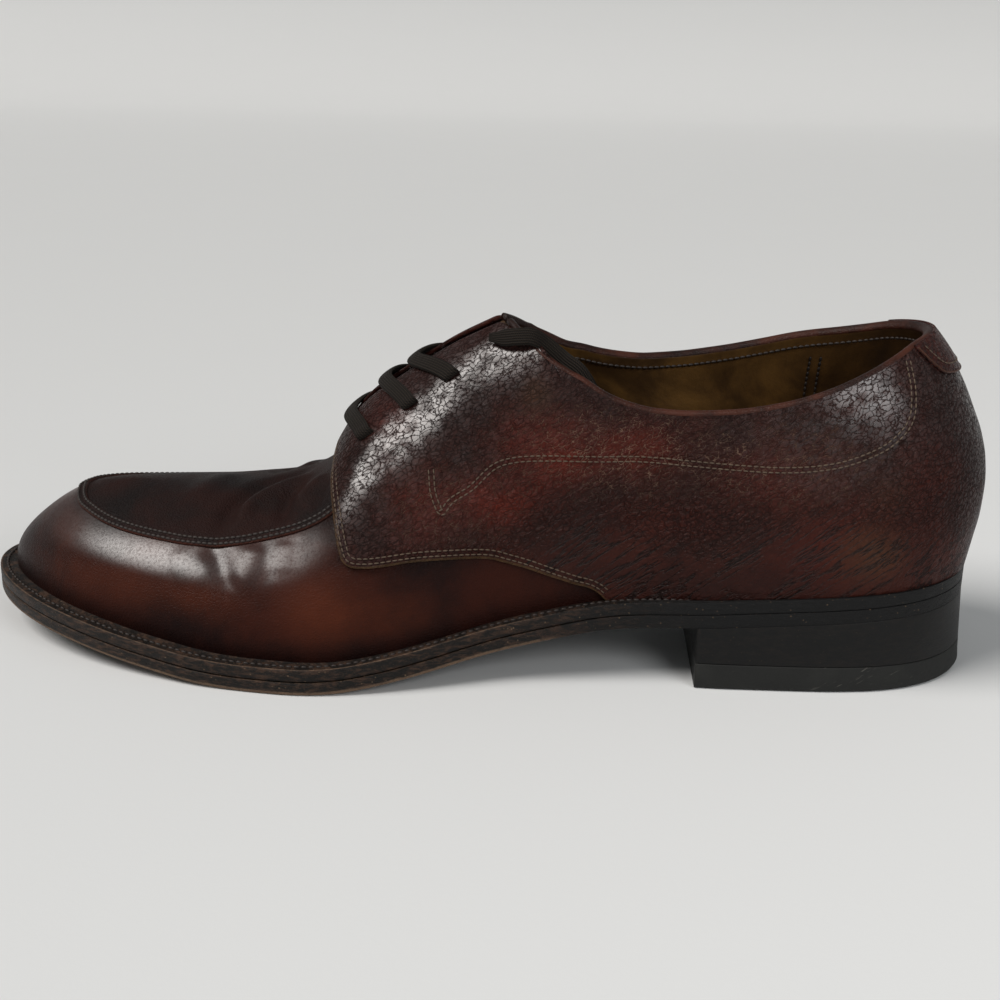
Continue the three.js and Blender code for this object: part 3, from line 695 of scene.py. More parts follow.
def smooth_leather(name, shade, main, light, grain=0.6, rough=0.3, shine=0.08, cloudy=30.0):
    """Smooth polished leather: broad clouds of tone, fine pores and a thin coat of wax.
    The attributes warm and darkening lead its colour to the light tone and to the dark one, and gloss says
    where the wax lies. On the vamp, warm gives rubbed patches and darkening is painted shade along the welt;
    on the apron seam, warm is a painted highlight on its shoulders; on the binding, darkening only makes its
    ends darker."""
    f = Finish(name)
    cloud = f.noise(cloudy, 5, 0.6, warp=0.4)
    blotch = f.noise(cloudy * 3.2, 4, 0.65)
    tone = f.mix(cloud.between(0.34, 0.66), shade, main)
    # painted highlight where warm is set on the apron seam's shoulders; rubbed patches elsewhere
    warm = f.attribute("warm") * blotch.between(0.25, 0.7, 0.55, 1.0)
    tone = f.mix(warm, tone, light)
    # painted shade along the vamp's foot above the welt; toward the binding's ends it only darkens
    tone = f.mix(f.attribute("dusk") * 0.85, tone, shade)
    pores = f.noise(1300, 4, 0.75)
    cells = f.cells(1050.0)
    tone = f.mix(pores.between(0.55, 0.85) * 0.3, tone, light)
    height = pores * 0.7 + cells.between(0.0, 0.25) * 0.3
    low = f.bump(f.noise(210, 4, 0.6), 0.00012, 0.7)
    return f.set(
        Base_Color=tone, Roughness=cloud.between(0.35, 0.7, rough, rough + 0.14) + pores * 0.05,
        Specular_IOR_Level=shine, Coat_Weight=f.attribute("gloss") * pores.between(0.3, 0.6, 0.4, 1.0),
        Coat_Roughness=0.3, Coat_IOR=1.7,
        Normal=f.bump(height, 0.00045 * grain, 1.0, low),
    )


def grained_leather(name, shade, main, light, red, tan):
    """Shrunken grain leather: small uneven pebbles, drawn out along the slant of the creases between them,
    with painted shade in the valleys between the pebbles and in the long creases.
    The attributes even, warm, orange, darkening, pale, rim and gloss say where it is smooth, red, tan,
    darkened with painted shade, netted with rubbed pale lines, rubbed at its edge and waxed."""
    f = Finish(name)
    turned = f.moved(turn=(0, 0.66, 0))
    sway = f.noise(300.0, rough=0.5, source=turned, out="Color")
    warped = f.node(
        "ShaderNodeVectorMath", {"operation": "MULTIPLY_ADD"},
        {0: sway, 1: (0.0036, 0.0036, 0.0036), 2: f.moved(scale=(0.62, 1, 1), source=turned)},
    )
    pebbles, small_pebbles = 700.0, 1500.0
    edge = f.cells(pebbles, warped)
    valley = edge.between(0.0, 0.16)
    dome = 1 - f.cells(pebbles, warped, "F1").between(0.0, 0.85)
    small = f.cells(small_pebbles, warped).between(0.0, 0.4)
    uneven = f.noise(130, 4, 0.65)
    even = f.attribute("even")
    pale = f.attribute("pale")
    soft = 1 - even * 0.86
    long = f.noise(420, 4, 0.6, source=f.moved(scale=(0.09, 1, 1), source=turned), warp=0.15)
    broken = f.noise(65, 2, 0.5).between(0.3, 0.5)
    deep = 1 - (long - 0.5).maths("ABSOLUTE").between(0.0, 0.045)
    crease = 1 - deep * broken * even.between(0.0, 0.8, 0.3, 1.0)
    fine = f.noise(2400, 2, 0.6)
    cloud = f.noise(34, 5, 0.6, warp=0.5)
    # painted shade tone for the pebbles' valleys and the long creases
    painted_groove_shade = (0.003, 0.0018, 0.0016)
    tone = f.mix(cloud.between(0.3, 0.68, 0.25, 1.0), shade, main)
    blotch = f.noise(75, 4, 0.6).between(0.3, 0.65, 0.5, 1.0)
    tone = f.mix(f.attribute("warm") * blotch, tone, red)
    tone = f.mix(f.attribute("orange") * blotch, tone, tan)
    # painted shade where the darkening patches lie, low above the welt and along the front edge
    tone = f.mix(f.attribute("dusk") * 0.8, tone, shade)
    # painted shade: the valleys between the pebbles, the small pebbles' edges and the long creases are darkened
    tone = f.mix((1 - valley) * soft * (1 - pale * 0.8) * 0.6, tone, painted_groove_shade)
    tone = f.mix((1 - small) * soft * 0.3, tone, painted_groove_shade)
    tone = f.mix((1 - crease) * 0.85, tone, painted_groove_shade)
    net = f.noise(420, 3, 0.7).between(0.4, 0.62) * uneven.between(0.28, 0.5)
    line = (1 - edge.between(0.0, 0.06)) * net
    tone = f.mix(line * pale * 0.85, tone, light)
    tone = f.mix(f.attribute("rim") * fine.between(0.2, 0.8, 0.5, 1.0), tone, tan)
    rough = (1 - valley) * 0.3 * soft + cloud.between(0.35, 0.7, 0.3, 0.38)
    wrinkles = f.noise(140, 4, 0.6, source=f.moved(scale=(0.45, 1, 1), source=turned), warp=0.4)
    swell = f.bump(wrinkles, 0.0013, 0.8)
    height = (dome * 0.7 + valley * 0.1 + small * 0.28) * soft * uneven.between(0.3, 0.62, 0.6, 1.0)
    height = height * (1 - pale * 0.45) + crease * 0.3 + fine * 0.05
    patchy = f.noise(230, 3, 0.6).between(0.36, 0.6, 0.3, 1.0)
    return f.set(
        Base_Color=tone, Roughness=rough, Specular_IOR_Level=0.11,
        Coat_Weight=f.attribute("gloss") * valley * patchy, Coat_Roughness=0.24, Coat_IOR=1.7,
        Normal=f.bump(height, 0.00115, 1.0, swell),
    )


def thread(name, colour, light):
    """Twisted waxed thread, soiled in places."""
    f = Finish(name)
    soil = f.noise(120, 4, 0.6)
    tone = f.mix(f.noise(900, 3, 0.6) * soil, colour, light)
    return f.set(Base_Color=tone, Roughness=0.6, Normal=f.bump(f.noise(2600, 2, 0.5), 0.00008, 0.8))


def lining_leather(name, dark, light):
    """Lining leather, golden where it is rubbed, with painted shade darkening it high in the heel cup and
    beside the facings.
    """
    f = Finish(name)
    cloud = f.noise(34, 5, 0.62, warp=0.5)
    tone = f.mix(cloud.between(0.38, 0.68), dark, light)
    # painted shade: a dark brown mixed in high in the heel cup and beside the facings; on the insole, a flat
    # darkening all over
    tone = f.mix(f.attribute("worn"), tone, (0.03, 0.014, 0.007))
    pores = f.noise(1500, 4, 0.65)
    tone = f.mix(pores.between(0.5, 0.8) * 0.3, tone, dark)
    return f.set(
        Base_Color=tone, Roughness=cloud.between(0.3, 0.7, 0.36, 0.5), Specular_IOR_Level=0.45,
        Normal=f.bump(pores + f.noise(150, 3, 0.5) * 2, 0.00014, 0.8),
    )


def edge_leather(name, dark, tan, speck, fibre=1.0):
    """Blacked leather edge, fibrous, rubbed to tan along its corners, and blacker where the darkening share
    says, at the heel and waist.
    """
    f = Finish(name)
    layers = f.noise(420, 5, 0.75, source=f.moved(scale=(0.6, 0.6, 1.9)), warp=0.3)
    rub = f.noise(240, 6, 0.8, warp=0.6)
    share = (f.attribute("worn") - rub * 0.95).between(0.04, 0.6)
    brown = tuple(v * k for v, k in zip(dark, (7.0, 4.8, 3.6)))
    tone = f.mix(layers.between(0.44, 0.66) * fibre, dark, brown)
    tone = f.mix(f.attribute("dusk"), tone, (0.0042, 0.0042, 0.0044))
    tone = f.mix(share, tone, tan)
    spots = f.cells(620, feature="F1")
    tone = f.mix((1 - spots.between(0.06, 0.2)) * rub.between(0.45, 0.6) * fibre * 0.5, tone, speck)
    return f.set(
        Base_Color=tone, Roughness=share.between(0.0, 1.0, 0.4, 0.65) + layers * 0.16, Specular_IOR_Level=0.2,
        Normal=f.bump(layers + rub * 0.6, 0.0001 + 0.0005 * fibre, 1.0),
    )


def rubber(name, colour, pale):
    """Matt rubber with a powdery bloom and small scratches."""
    f = Finish(name)
    bloom = f.noise(45, 5, 0.65, warp=0.6)
    turned = f.moved(turn=(0, 0.5, 0))
    scratch = f.noise(420, 3, 0.7, source=f.moved(scale=(0.15, 1, 3), source=turned))
    tone = f.mix(bloom.between(0.4, 0.75) * 0.5, colour, pale)
    tone = f.mix(scratch.between(0.64, 0.72) * f.attribute("worn") * 0.6, tone, (0.16, 0.15, 0.13))
    return f.set(
        Base_Color=tone, Roughness=bloom.between(0.3, 0.7, 0.55, 0.72), Specular_IOR_Level=0.35,
        Normal=f.bump(f.noise(700, 4, 0.6) + scratch * 0.6, 0.00012, 0.8),
    )


def woven_lace(name, dark, light):
    """Flat braided lace: ribs along it, crossed by the slant of its strands, with painted shade in the grooves
    between them.
    """
    f = Finish(name)
    uv = f.node("ShaderNodeUVMap", {"uv_map": "cloth"})
    along = {"wave_type": "BANDS", "bands_direction": "X", "wave_profile": "SIN"}
    values = {"Vector": uv, "Scale": 0.42, "Distortion": 0.5, "Detail": 1.0, "Detail Scale": 2.0}
    rib = f.node("ShaderNodeTexWave", along, values)
    slant = f.moved(turn=(0, 0, 0.5), source=uv)
    values = {"Vector": slant, "Scale": 0.62, "Distortion": 0.6, "Detail": 1.0}
    strand = f.node("ShaderNodeTexWave", {**along, "bands_direction": "Y"}, values)
    height = rib * 0.65 + strand * 0.35
    # painted shade: the colour follows the weave's height, dark in its grooves and light on its crests
    tone = f.mix(height.between(0.3, 0.9), dark, light)
    fuzz = f.noise(2600, 3, 0.6)
    return f.set(
        Base_Color=f.mix(fuzz * 0.3, tone, light), Roughness=0.8, Specular_IOR_Level=0.22,
        Normal=f.bump(height + fuzz * 0.2, 0.00035, 1.0),
    )


def pale_floor(name, colour):
    """A plain matt table."""
    f = Finish(name)
    tone = f.mix(f.noise(9, 4, 0.6) * 0.06, colour, (0.6, 0.6, 0.59))
    bump = f.bump(f.noise(500, 3, 0.6), 0.0001, 0.3)
    return f.set(Base_Color=tone, Roughness=0.6, Specular_IOR_Level=0.2, Normal=bump)


def length_property(name, description, default):
    return FloatProperty(name=name, description=description, default=default, unit="LENGTH")


class ShoeSizes(bpy.types.PropertyGroup):
    """Sizes that a user may change without leaving the solids' shape."""

    stitch_length: length_property("Stitch length", "Length of one upper stitch", 0.00155)
    stitch_pitch: length_property("Stitch pitch", "Distance from one stitch to the next", 0.0018)
    stitch_width: length_property("Thread width", "Width of the upper's thread", 0.00045)
    row_gap: length_property("Row spacing", "Distance between two rows of stitches", 0.0015)
    seam_width: length_property("Apron seam width", "Width of the raised apron seam", 0.0036)
    seam_height: length_property("Apron seam height", "How far the apron seam stands up", 0.0008)
    binding: length_property("Collar binding", "Thickness of the rolled binding round the collar", 0.0031)
    lace_width: length_property("Lace width", "Width of the flat lace", 0.0052)
    fold_depth: FloatProperty(
        name="Fold depth", description="Strength of the creases", default=1.0, subtype="FACTOR",
        min=0.0, max=1.5,
    )


def colour_property(name, description, default):
    return FloatVectorProperty(name=name, description=description, default=default, size=3, subtype="COLOR")


class ShoeColours(bpy.types.PropertyGroup):
    """The shoe's colours."""

    vamp_shade: colour_property("Vamp shade", "Darkest tone of the toe's wall", (0.0085, 0.0035, 0.0032))
    vamp_main: colour_property("Vamp", "Main tone of the toe's wall", (0.036, 0.0085, 0.0048))
    vamp_light: colour_property("Vamp light", "Rubbed tone of the toe's wall", (0.085, 0.020, 0.0085))
    apron_main: colour_property("Apron", "Main tone of the apron", (0.019, 0.0058, 0.0042))
    quarter_shade: colour_property("Quarter shade", "Darkest tone of the sides", (0.016, 0.0056, 0.0046))
    quarter_main: colour_property("Quarter", "Main tone of the sides", (0.047, 0.0115, 0.0075))
    quarter_light: colour_property("Quarter light", "Worn lines of the sides' grain", (0.19, 0.12, 0.085))
    quarter_red: colour_property("Quarter red", "Rubbed red patches of the sides", (0.105, 0.0125, 0.0056))
    quarter_tan: colour_property("Quarter tan", "Worn tan of the sides' edges", (0.10, 0.058, 0.026))
    stitch: colour_property("Stitches", "Light thread of the upper", (0.20, 0.135, 0.082))
    dark_stitch: colour_property("Dark stitches", "Thread of the apron seam", (0.036, 0.018, 0.011))
    binding: colour_property("Binding", "Rolled edge of the collar", (0.062, 0.017, 0.009))
    lining: colour_property("Lining", "Rubbed tone inside the shoe", (0.175, 0.085, 0.018))
    edge: colour_property("Sole edge", "Blacked edge of the sole", (0.0080, 0.0064, 0.0055))
    heel: colour_property("Heel", "Blacked side of the heel", (0.0055, 0.0055, 0.0055))
    worn_edge: colour_property("Worn edge", "Worn corners of the sole", (0.17, 0.11, 0.072))
    lift: colour_property("Top lift", "Rubber of the heel's lowest layer", (0.0062, 0.0065, 0.0058))
    lace: colour_property("Lace", "Flat lace", (0.021, 0.0145, 0.0095))
    floor: colour_property("Floor", "Plain floor under the shoe", (0.735, 0.75, 0.755))


def sizes(context):
    return context.scene.shoe_sizes


def colours(context):
    return context.scene.shoe_colours


made = {}


def material(context, key):
    """A finish of the shoe, made when it is first asked for."""
    if key in made:
        return made[key]
    c = colours(context)
    speck = (0.3, 0.2, 0.12)
    makers = {
        "vamp": (smooth_leather, "vamp_leather", c.vamp_shade, c.vamp_main, c.vamp_light),
        "apron": (smooth_leather, "apron_leather", (0.006, 0.0032, 0.003), c.apron_main, c.vamp_light,
                  0.9, 0.46, 0.12),
        "seam": (smooth_leather, "seam_leather", (0.006, 0.003, 0.0027), c.apron_main, c.vamp_light,
                 0.8, 0.42, 0.14, 90),
        "quarter": (grained_leather, "quarter_leather", c.quarter_shade, c.quarter_main, c.quarter_light,
                    c.quarter_red, c.quarter_tan),
        "binding": (smooth_leather, "binding_leather", (0.012, 0.0042, 0.003), c.binding,
                    (0.12, 0.05, 0.026), 0.5, 0.34, 0.2, 60),
        "stitch": (thread, "light_thread", (0.05, 0.032, 0.02), c.stitch),
        "dark_stitch": (thread, "dark_thread", (0.008, 0.005, 0.004), c.dark_stitch),
        "lining": (lining_leather, "lining_leather", (0.05, 0.024, 0.008), c.lining),
        "edge": (edge_leather, "edge_leather", c.edge, c.worn_edge, speck),
        "heel": (edge_leather, "heel_leather", c.heel, c.worn_edge, speck, 0.12),
        "lift": (rubber, "lift_rubber", c.lift, (0.026, 0.027, 0.024)),
        "lace": (woven_lace, "lace_cloth", (0.0028, 0.0022, 0.0018), c.lace),
        "tip": (smooth_leather, "tip_plastic", (0.006, 0.005, 0.0045), (0.009, 0.0075, 0.006),
                (0.02, 0.016, 0.012)),
        "floor": (pale_floor, "floor", c.floor),
    }
    maker, *values = makers[key]
    made[key] = maker(*values)
    return made[key]


def outline_points(share, inset):
    """(along, y) of the sole's outline, drawn in by inset. share is signed: below 0 is the inner side."""
    side = np.where(share < 0, 1.0, -1.0)
    share = np.abs(share)
    half = BALL_WIDTH * outline_width(share) / 2
    along = inset + (SOLE_LENGTH - 2 * inset) * share
    y = BALL_WIDTH * outline_centre(share) + side * np.maximum(0, half - inset) * ends(share)
    return along, y


def outline_ring(inset, height, count=SOLE_POINTS):
    """A closed ring of the sole's outline, drawn in by inset, at a height that follows the sole."""
    share = (1 - np.cos(2 * np.pi * np.arange(count) / count)) / 2
    along, y = outline_points(np.where(np.arange(count) <= count / 2, share, -share), inset)
    return np.stack([SOLE_LENGTH / 2 - along, y, height(along)], -1)


class SHOE_OT_stage(bpy.types.Operator):
    """Makes the camera, the floor and the lights"""

    bl_idname = "shoe.stage"
    bl_label = "Stage"

    def execute(self, context):
        yaw, pitch, roll = CAMERA_TURNS
        right = np.array([math.cos(yaw), math.sin(yaw), 0])
        up = np.array([-math.sin(yaw) * math.sin(pitch), math.cos(yaw) * math.sin(pitch), math.cos(pitch)])
        back = np.cross(right, up)
        side = math.cos(roll) * right + math.sin(roll) * up
        top = -math.sin(roll) * right + math.cos(roll) * up
        camera = bpy.data.objects.new("camera", bpy.data.cameras.new("camera"))
        eye = (np.array(CAMERA_AT) + SHIFT) * 0.001
        turn = Matrix((side, top, back)).transposed().to_4x4()
        camera.matrix_world = Matrix.Translation(eye) @ turn
        camera.data.lens = CAMERA_LENS
        camera.data.sensor_width = 36
        camera.data.shift_x = CAMERA_SHIFT
        camera.data.clip_start = 0.01
        context.scene.collection.objects.link(camera)
        bpy.context.scene.camera = camera

        sweep, half_width = 0.7, 7.0
        profile = [(-6.0, 0.0), (-1.0, 0.0), (3.0, 0.0)]
        for angle in (n * math.pi / 16 for n in range(1, 9)):
            profile.append((3.0 + sweep * math.sin(angle), sweep - sweep * math.cos(angle)))
        mesh = bpy.data.meshes.new("floor")
        mesh.from_pydata(
            [(x, y, z) for y, z in profile for x in (-half_width, half_width)], [],
            [(2 * n, 2 * n + 1, 2 * n + 3, 2 * n + 2) for n in range(len(profile) - 1)],
        )
        mesh.shade_smooth()
        mesh.materials.append(material(context, "floor"))
        floor = bpy.data.objects.new("floor", mesh)
        context.scene.collection.objects.link(floor)

        world = bpy.data.worlds.new("studio")
        world.use_nodes = True
        colour, strength = world.node_tree.nodes["Background"].inputs[:2]
        colour.default_value = (0.98, 1.0, 1.0, 1)
        strength.default_value = 0.2
        context.scene.world = world
        context.scene.view_settings.view_transform = "Standard"
        sun = bpy.data.lights.new("window", "SUN")
        sun.energy, sun.angle, sun.color = 2.5, 0.56, (1.0, 0.96, 0.92)
        self.hang(context, sun, (-0.56, -0.22, 0.80))
        light = bpy.data.lights.new("front", "AREA")
        light.shape, light.size, light.size_y, light.energy = "RECTANGLE", 0.6, 0.4, 4.0
        self.hang(context, light, (0.62, -0.82, 0.62))
        return {"FINISHED"}

    def hang(self, context, light, place):
        """Hangs a light at a place, looking at the shoe."""
        lamp = bpy.data.objects.new(light.name, light)
        lamp.location = place
        lamp.rotation_euler = (Vector((0, 0, 0.03)) - Vector(place)).to_track_quat("-Z", "Y").to_euler()
        context.scene.collection.objects.link(lamp)


def eyelet_place(i, side):
    """An eyelet's place on a facing and the direction out of it; eyelet 0 is nearest the toe."""
    along = EYELET_AT[i] * SOLE_LENGTH
    turn, rise = from_plan(along, ridge_y(along) + side * BALL_WIDTH * EYELET_ASIDE[i])
    place, normal = last_skin(turn, rise)
    return place + normal * QUARTER, normal


def throat_lift(along, level):
    """How far the facings stand up where they cross the tongue's throat."""
    near = np.exp(-(((along / SOLE_LENGTH - THROAT_AT) / THROAT_REACH) ** 2))
    return THROAT_LIFT * near * step_up(0.45, 0.95, level)


def ribbon(path, across, width, squeeze):
    """A flat lace along a path, narrowed by squeeze: points, faces and a cloth UV in millimetres."""
    run = unit(np.gradient(path, axis=0))
    wide = unit(across - np.sum(across * run, -1, keepdims=True) * run)
    thick_way = np.cross(run, wide)
    angle = 2 * np.pi * np.arange(LACE_SIDES) / LACE_SIDES
    c, s = np.cos(angle), np.sin(angle)
    ring_c = np.sign(c) * np.abs(c) ** 0.8
    ring_s = np.sign(s) * np.abs(s) ** 0.75
    rings = wide[:, None] * ring_c[None, :, None] * width / 2
    rings = rings + thick_way[:, None] * ring_s[None, :, None] * LACE_THICK / 2
    points, faces = fan_closed(path[:, None] + rings)
    middle = np.vstack([np.repeat(path, LACE_SIDES, 0), path[:1], path[-1:]])
    share = np.r_[np.repeat(squeeze, LACE_SIDES), squeeze[0], squeeze[-1]]
    points = middle + (points - middle) * share[:, None]
    length = np.r_[0, np.cumsum(np.linalg.norm(np.diff(path, axis=0), axis=1))]
    uv = np.stack([np.tile(ring_c * width / 2, len(path)), np.repeat(length, LACE_SIDES)], -1)
    return points, faces, np.vstack([uv, [[0, 0], [0, length[-1]]]])


class SHOE_OT_lace_end(bpy.types.Operator):
    """Makes the loose end of the lace with its tip"""

    bl_idname = "shoe.lace_end"
    bl_label = "Loose lace end"

    def execute(self, context):
        share = np.array(LACE_END_AT)
        aside = BALL_WIDTH * np.array(LACE_END_ASIDE)
        points = np.stack([SOLE_LENGTH / 2 - share * SOLE_LENGTH, aside, up_from(share, LACE_END_UP)], -1)
        path = spline(points, step=LACE_STEP)
        width = sizes(context).lace_width * 1000
        across = np.broadcast_to(np.array([0, 0.3, 1.0]), path.shape)
        squeeze = 0.5 + 0.5 * step_up(0.0, 6.0, np.arange(len(path)) * LACE_STEP)
        p, faces, uv = ribbon(path, across, width, squeeze)
        lace = finish_mesh("lace_end_woven", p, faces, material(context, "lace"),
                           replaces=["lace_end"], uv=uv)
        way = unit(points[-1] - points[-2])
        along = np.linspace(0, 1, 24)
        radius = TIP_RADIUS * np.sqrt(np.clip(1 - np.abs(2 * along - 1) ** 14, 0, 1)) * (1 - 0.12 * along)
        radius[0] = radius[-1] = 0.25
        centre = points[-1] + way * GAP + way * (along * TIP_LENGTH)[:, None]
        profile = radius[:, None, None] * circle(18)[:, ::-1]
        p, faces = tube(centre, profile, np.array([0, 1.0, 0]))
        tip = finish_mesh("lace_tip_end", p, faces, material(context, "tip"),
                          replaces=["lace_tip"])
        return {"FINISHED"}


class SHOE_OT_lace_bars(bpy.types.Operator):
    """Makes the lace's three bars over the facings"""

    bl_idname = "shoe.lace_bars"
    bl_label = "Lace bars"

    def execute(self, context):
        all_points, all_faces, all_uv, start = [], [], [], 0
        for i in range(3):
            p, faces, uv = self.bar(i, sizes(context).lace_width * 1000)
            all_points.append(p)
            all_faces += [tuple(n + start for n in face) for face in faces]
            all_uv.append(uv)
            start += len(p)
        finish_mesh("lace_bars_woven", np.vstack(all_points), all_faces, material(context, "lace"),
                    replaces=["lace_bar_1", "lace_bar_2", "lace_bar_3"],
                    uv=np.vstack(all_uv))
        return {"FINISHED"}

    def bar(self, i, width):
        """One crossing, from the outer eyelet over the facings and down into the inner one."""
        near, near_out = eyelet_place(i, -1)
        far, far_out = eyelet_place(i, 1)
        t = np.linspace(0, 1, 21)
        arch = np.sin(np.pi * t)
        along = (EYELET_AT[i] + EYELET_FORWARD[i] * arch) * SOLE_LENGTH
        place, normal = last_skin(*from_plan(along, near[1] + (far[1] - near[1]) * t))
        out = QUARTER + throat_lift(along, 0.95) + LACE_THICK / 2 + 0.2 + 0.1 * arch
        line = place + normal * out[:, None]
        toward, back = unit(line[1] - line[0]), unit(line[-2] - line[-1])
        shallow, deep = 1.2, 3.2
        first = [near - near_out * deep + toward * 0.2, near - near_out * shallow - toward * 0.1]
        last = [far - far_out * shallow - back * 0.1, far - far_out * deep + back * 0.2]
        path = spline(np.vstack([first, line, last]), step=LACE_STEP)
        across = np.broadcast_to(np.array([1.0, 0, 0.8]), path.shape)
        return ribbon(path, across, width, 0.62 + 0.38 * step_up(0.5, 5.0, from_ends(path) * LACE_STEP))


def from_ends(path):
    """How many steps each point of a path lies from its nearer end."""
    count = np.arange(len(path))
    return np.minimum(count, count[::-1])


def grid_normals(place):
    """The directions that a grid's own surface faces."""
    return unit(np.cross(np.gradient(place, axis=0), np.gradient(place, axis=1)))


class SHOE_OT_vamp(bpy.types.Operator):
    """Makes the vamp's wall round the toe"""

    bl_idname = "shoe.vamp"
    bl_label = "Vamp"

    def execute(self, context):
        columns, rows = VAMP_GRID
        back_share, tucked_in = 0.29, 1.2
        first = math.acos(1 - 2 * back_share)
        turn = np.linspace(first, 2 * np.pi - first, columns)
        top = self.top_edge(turn)
        rise = (np.linspace(0, 1, rows) ** 0.95)[:, None] * top[None]
        turn = np.broadcast_to(turn, rise.shape)
        place, normal = last_skin(turn, rise)
        lift = relief(place) * sizes(context).fold_depth * step_up(0, 0.18, rise)
        place = place + normal * lift[..., None]
        foot = place[:1].copy()
        foot[..., 2] -= tucked_in
        place = np.concatenate([foot, place])
        normal = np.concatenate([normal[:1], normal])
        along, z = SOLE_LENGTH / 2 - place[..., 0], place[..., 2]
        p, f = panel(place, normal, VAMP_SHEET)
        warm = patch(VAMP_PATCHES, "warm", along, z, 1.3)
        # painted shade: the wall darkens over its lowest 1 to 8 mm above the welt
        dusk = (1 - step_up(1.0, 8.0, z - upper_foot(along))) * 0.55
        shine = gloss(normal, 0.46, 0.72) * (0.9 - 0.3 * step_up(10, 40, np.abs(along - 258)))
        shine *= 0.25 + 0.75 * step_up(196, 216, along)
        extra = {"warm": spread(warm, len(p), 0), "dusk": spread(dusk, len(p), 1),
                 "gloss": spread(shine, len(p), 0)}
        finish_mesh("vamp_wall", p, f, material(context, "vamp"), replaces=["upper"],
                    extra=extra)
        return {"FINISHED"}

    def top_edge(self, turn):
        """The wall's upper edge as a rise: the apron's seam at the toe, a hidden level under the quarters."""
        middle = np.array([0.72 * SOLE_LENGTH, ridge_y(0.72 * SOLE_LENGTH)])
        seam = apron_loop() - middle
        angle = np.unwrap(np.arctan2(seam[:, 1], seam[:, 0]))
        order = np.argsort(angle)
        angle, reach = angle[order], np.linalg.norm(seam, axis=1)[order]
        low, high = np.zeros(len(turn)), np.full(len(turn), np.pi / 2)
        for _ in range(34):
            rise = (low + high) / 2
            p = last_point(turn, rise)
            q = np.stack([SOLE_LENGTH / 2 - p[:, 0], p[:, 1]], -1) - middle
            seam_reach = np.interp(np.arctan2(q[:, 1], q[:, 0]), angle, reach, period=2 * np.pi)
            outside = np.linalg.norm(q, axis=1) > seam_reach
            low, high = np.where(outside, rise, low), np.where(outside, high, rise)
        hidden = 0.55
        return soften(hidden + (rise - hidden) * step_up(0.575, 0.62, (1 - np.cos(turn)) / 2), 4)


def apron_grid():
    """The apron's grid of places and of the directions that it faces."""
    rows, columns = 230, 96
    front = APRON_AT[-1] * SOLE_LENGTH
    t = np.linspace(0, 1, rows)
    s = APRON_BACK + (front - APRON_BACK) * (0.45 * t + 0.55 * np.sin(np.pi / 2 * t))
    loop = apron_loop(step=0.25)
    tip = int(np.argmax(loop[:, 0]))
    outer = np.interp(s, loop[: tip + 1, 0], loop[: tip + 1, 1])
    inner = np.interp(s, loop[tip:, 0][::-1], loop[tip:, 1][::-1])
    v = np.linspace(0, 1, columns)
    y = outer[:, None] + (inner - outer)[:, None] * v[None]
    along = np.broadcast_to(s[:, None], y.shape)
    turn, rise = from_plan(along, y)
    place = last_point(turn, rise)
    place[..., 2] = soften(soften(place[..., 2], 3, 0), 2, 1)
    normal = grid_normals(place)
    normal = normal * np.sign(normal[..., 2:])
    normal[-3:] = normal[-4:-3]
    return place, unit(normal)


class SHOE_OT_apron(bpy.types.Operator):
    """Makes the apron over the toes"""

    bl_idname = "shoe.apron"
    bl_label = "Apron"

    def execute(self, context):
        depth = sizes(context).fold_depth
        place, normal = apron_grid()
        along = SOLE_LENGTH / 2 - place[..., 0]
        sink = -1.4 * (1 - step_up(APRON_BACK, APRON_BACK + 6, along))
        place = place + normal * (relief(place) * depth + sink)[..., None]
        p, f = panel(place, normal, VAMP_SHEET)
        finish_mesh("apron_plug", p, f, material(context, "apron"))
        return {"FINISHED"}


def seam_path(lift, fold_depth):
    """The apron seam's centre line, lifted off the folded leather, with the directions that it faces."""
    loop = apron_loop(step=0.6)
    loop = loop[loop[:, 0] > SEAM_BACK]
    place, normal = last_skin(*from_plan(loop[:, 0], loop[:, 1]))
    place, normal = soften(place, 2), unit(soften(normal, 4))
    return place + normal * (relief(place) * fold_depth + lift)[:, None], normal


class SHOE_OT_apron_seam(bpy.types.Operator):
    """Makes the raised seam between apron and wall"""

    bl_idname = "shoe.apron_seam"
    bl_label = "Apron seam"

    def execute(self, context):
        half = sizes(context).seam_width * 1000 / 2
        height = sizes(context).seam_height * 1000
        place, normal = seam_path(0, sizes(context).fold_depth)
        # The right half of the seam's section, from its ridge groove outward: share of half, share of height
        section = np.array([(0.2, 0.9), (0.5, 1.02), (0.78, 0.92), (0.93, 0.62), (1, 0.25)])
        right = np.vstack([section * (half, height), [[half, -0.9]]])
        profile = np.vstack([right[::-1] * (-1, 1), [[0, height * 0.8]], right])
        p, f = tube(place, profile, normal)
        # painted highlight: the seam's shoulders are painted lighter, the one toward the wall most
        worn = np.array([0, 0.2, 0.9, 0.5, 0, 0, 0, 0, 0, 0, 0.5, 0.2, 0]) * 0.6
        finish_mesh("apron_seam_strip", p, f, material(context, "seam"),
                    extra={"warm": np.r_[np.tile(worn, len(place)), 0, 0]})
        return {"FINISHED"}


def quarter_lines():
    """The quarter's lower edge and then its front edge as one path of (along, height)."""
    share = np.array(QUARTER_AT)
    return spline(np.stack([share * SOLE_LENGTH, up_from(share, QUARTER_UP)], -1), step=0.5)


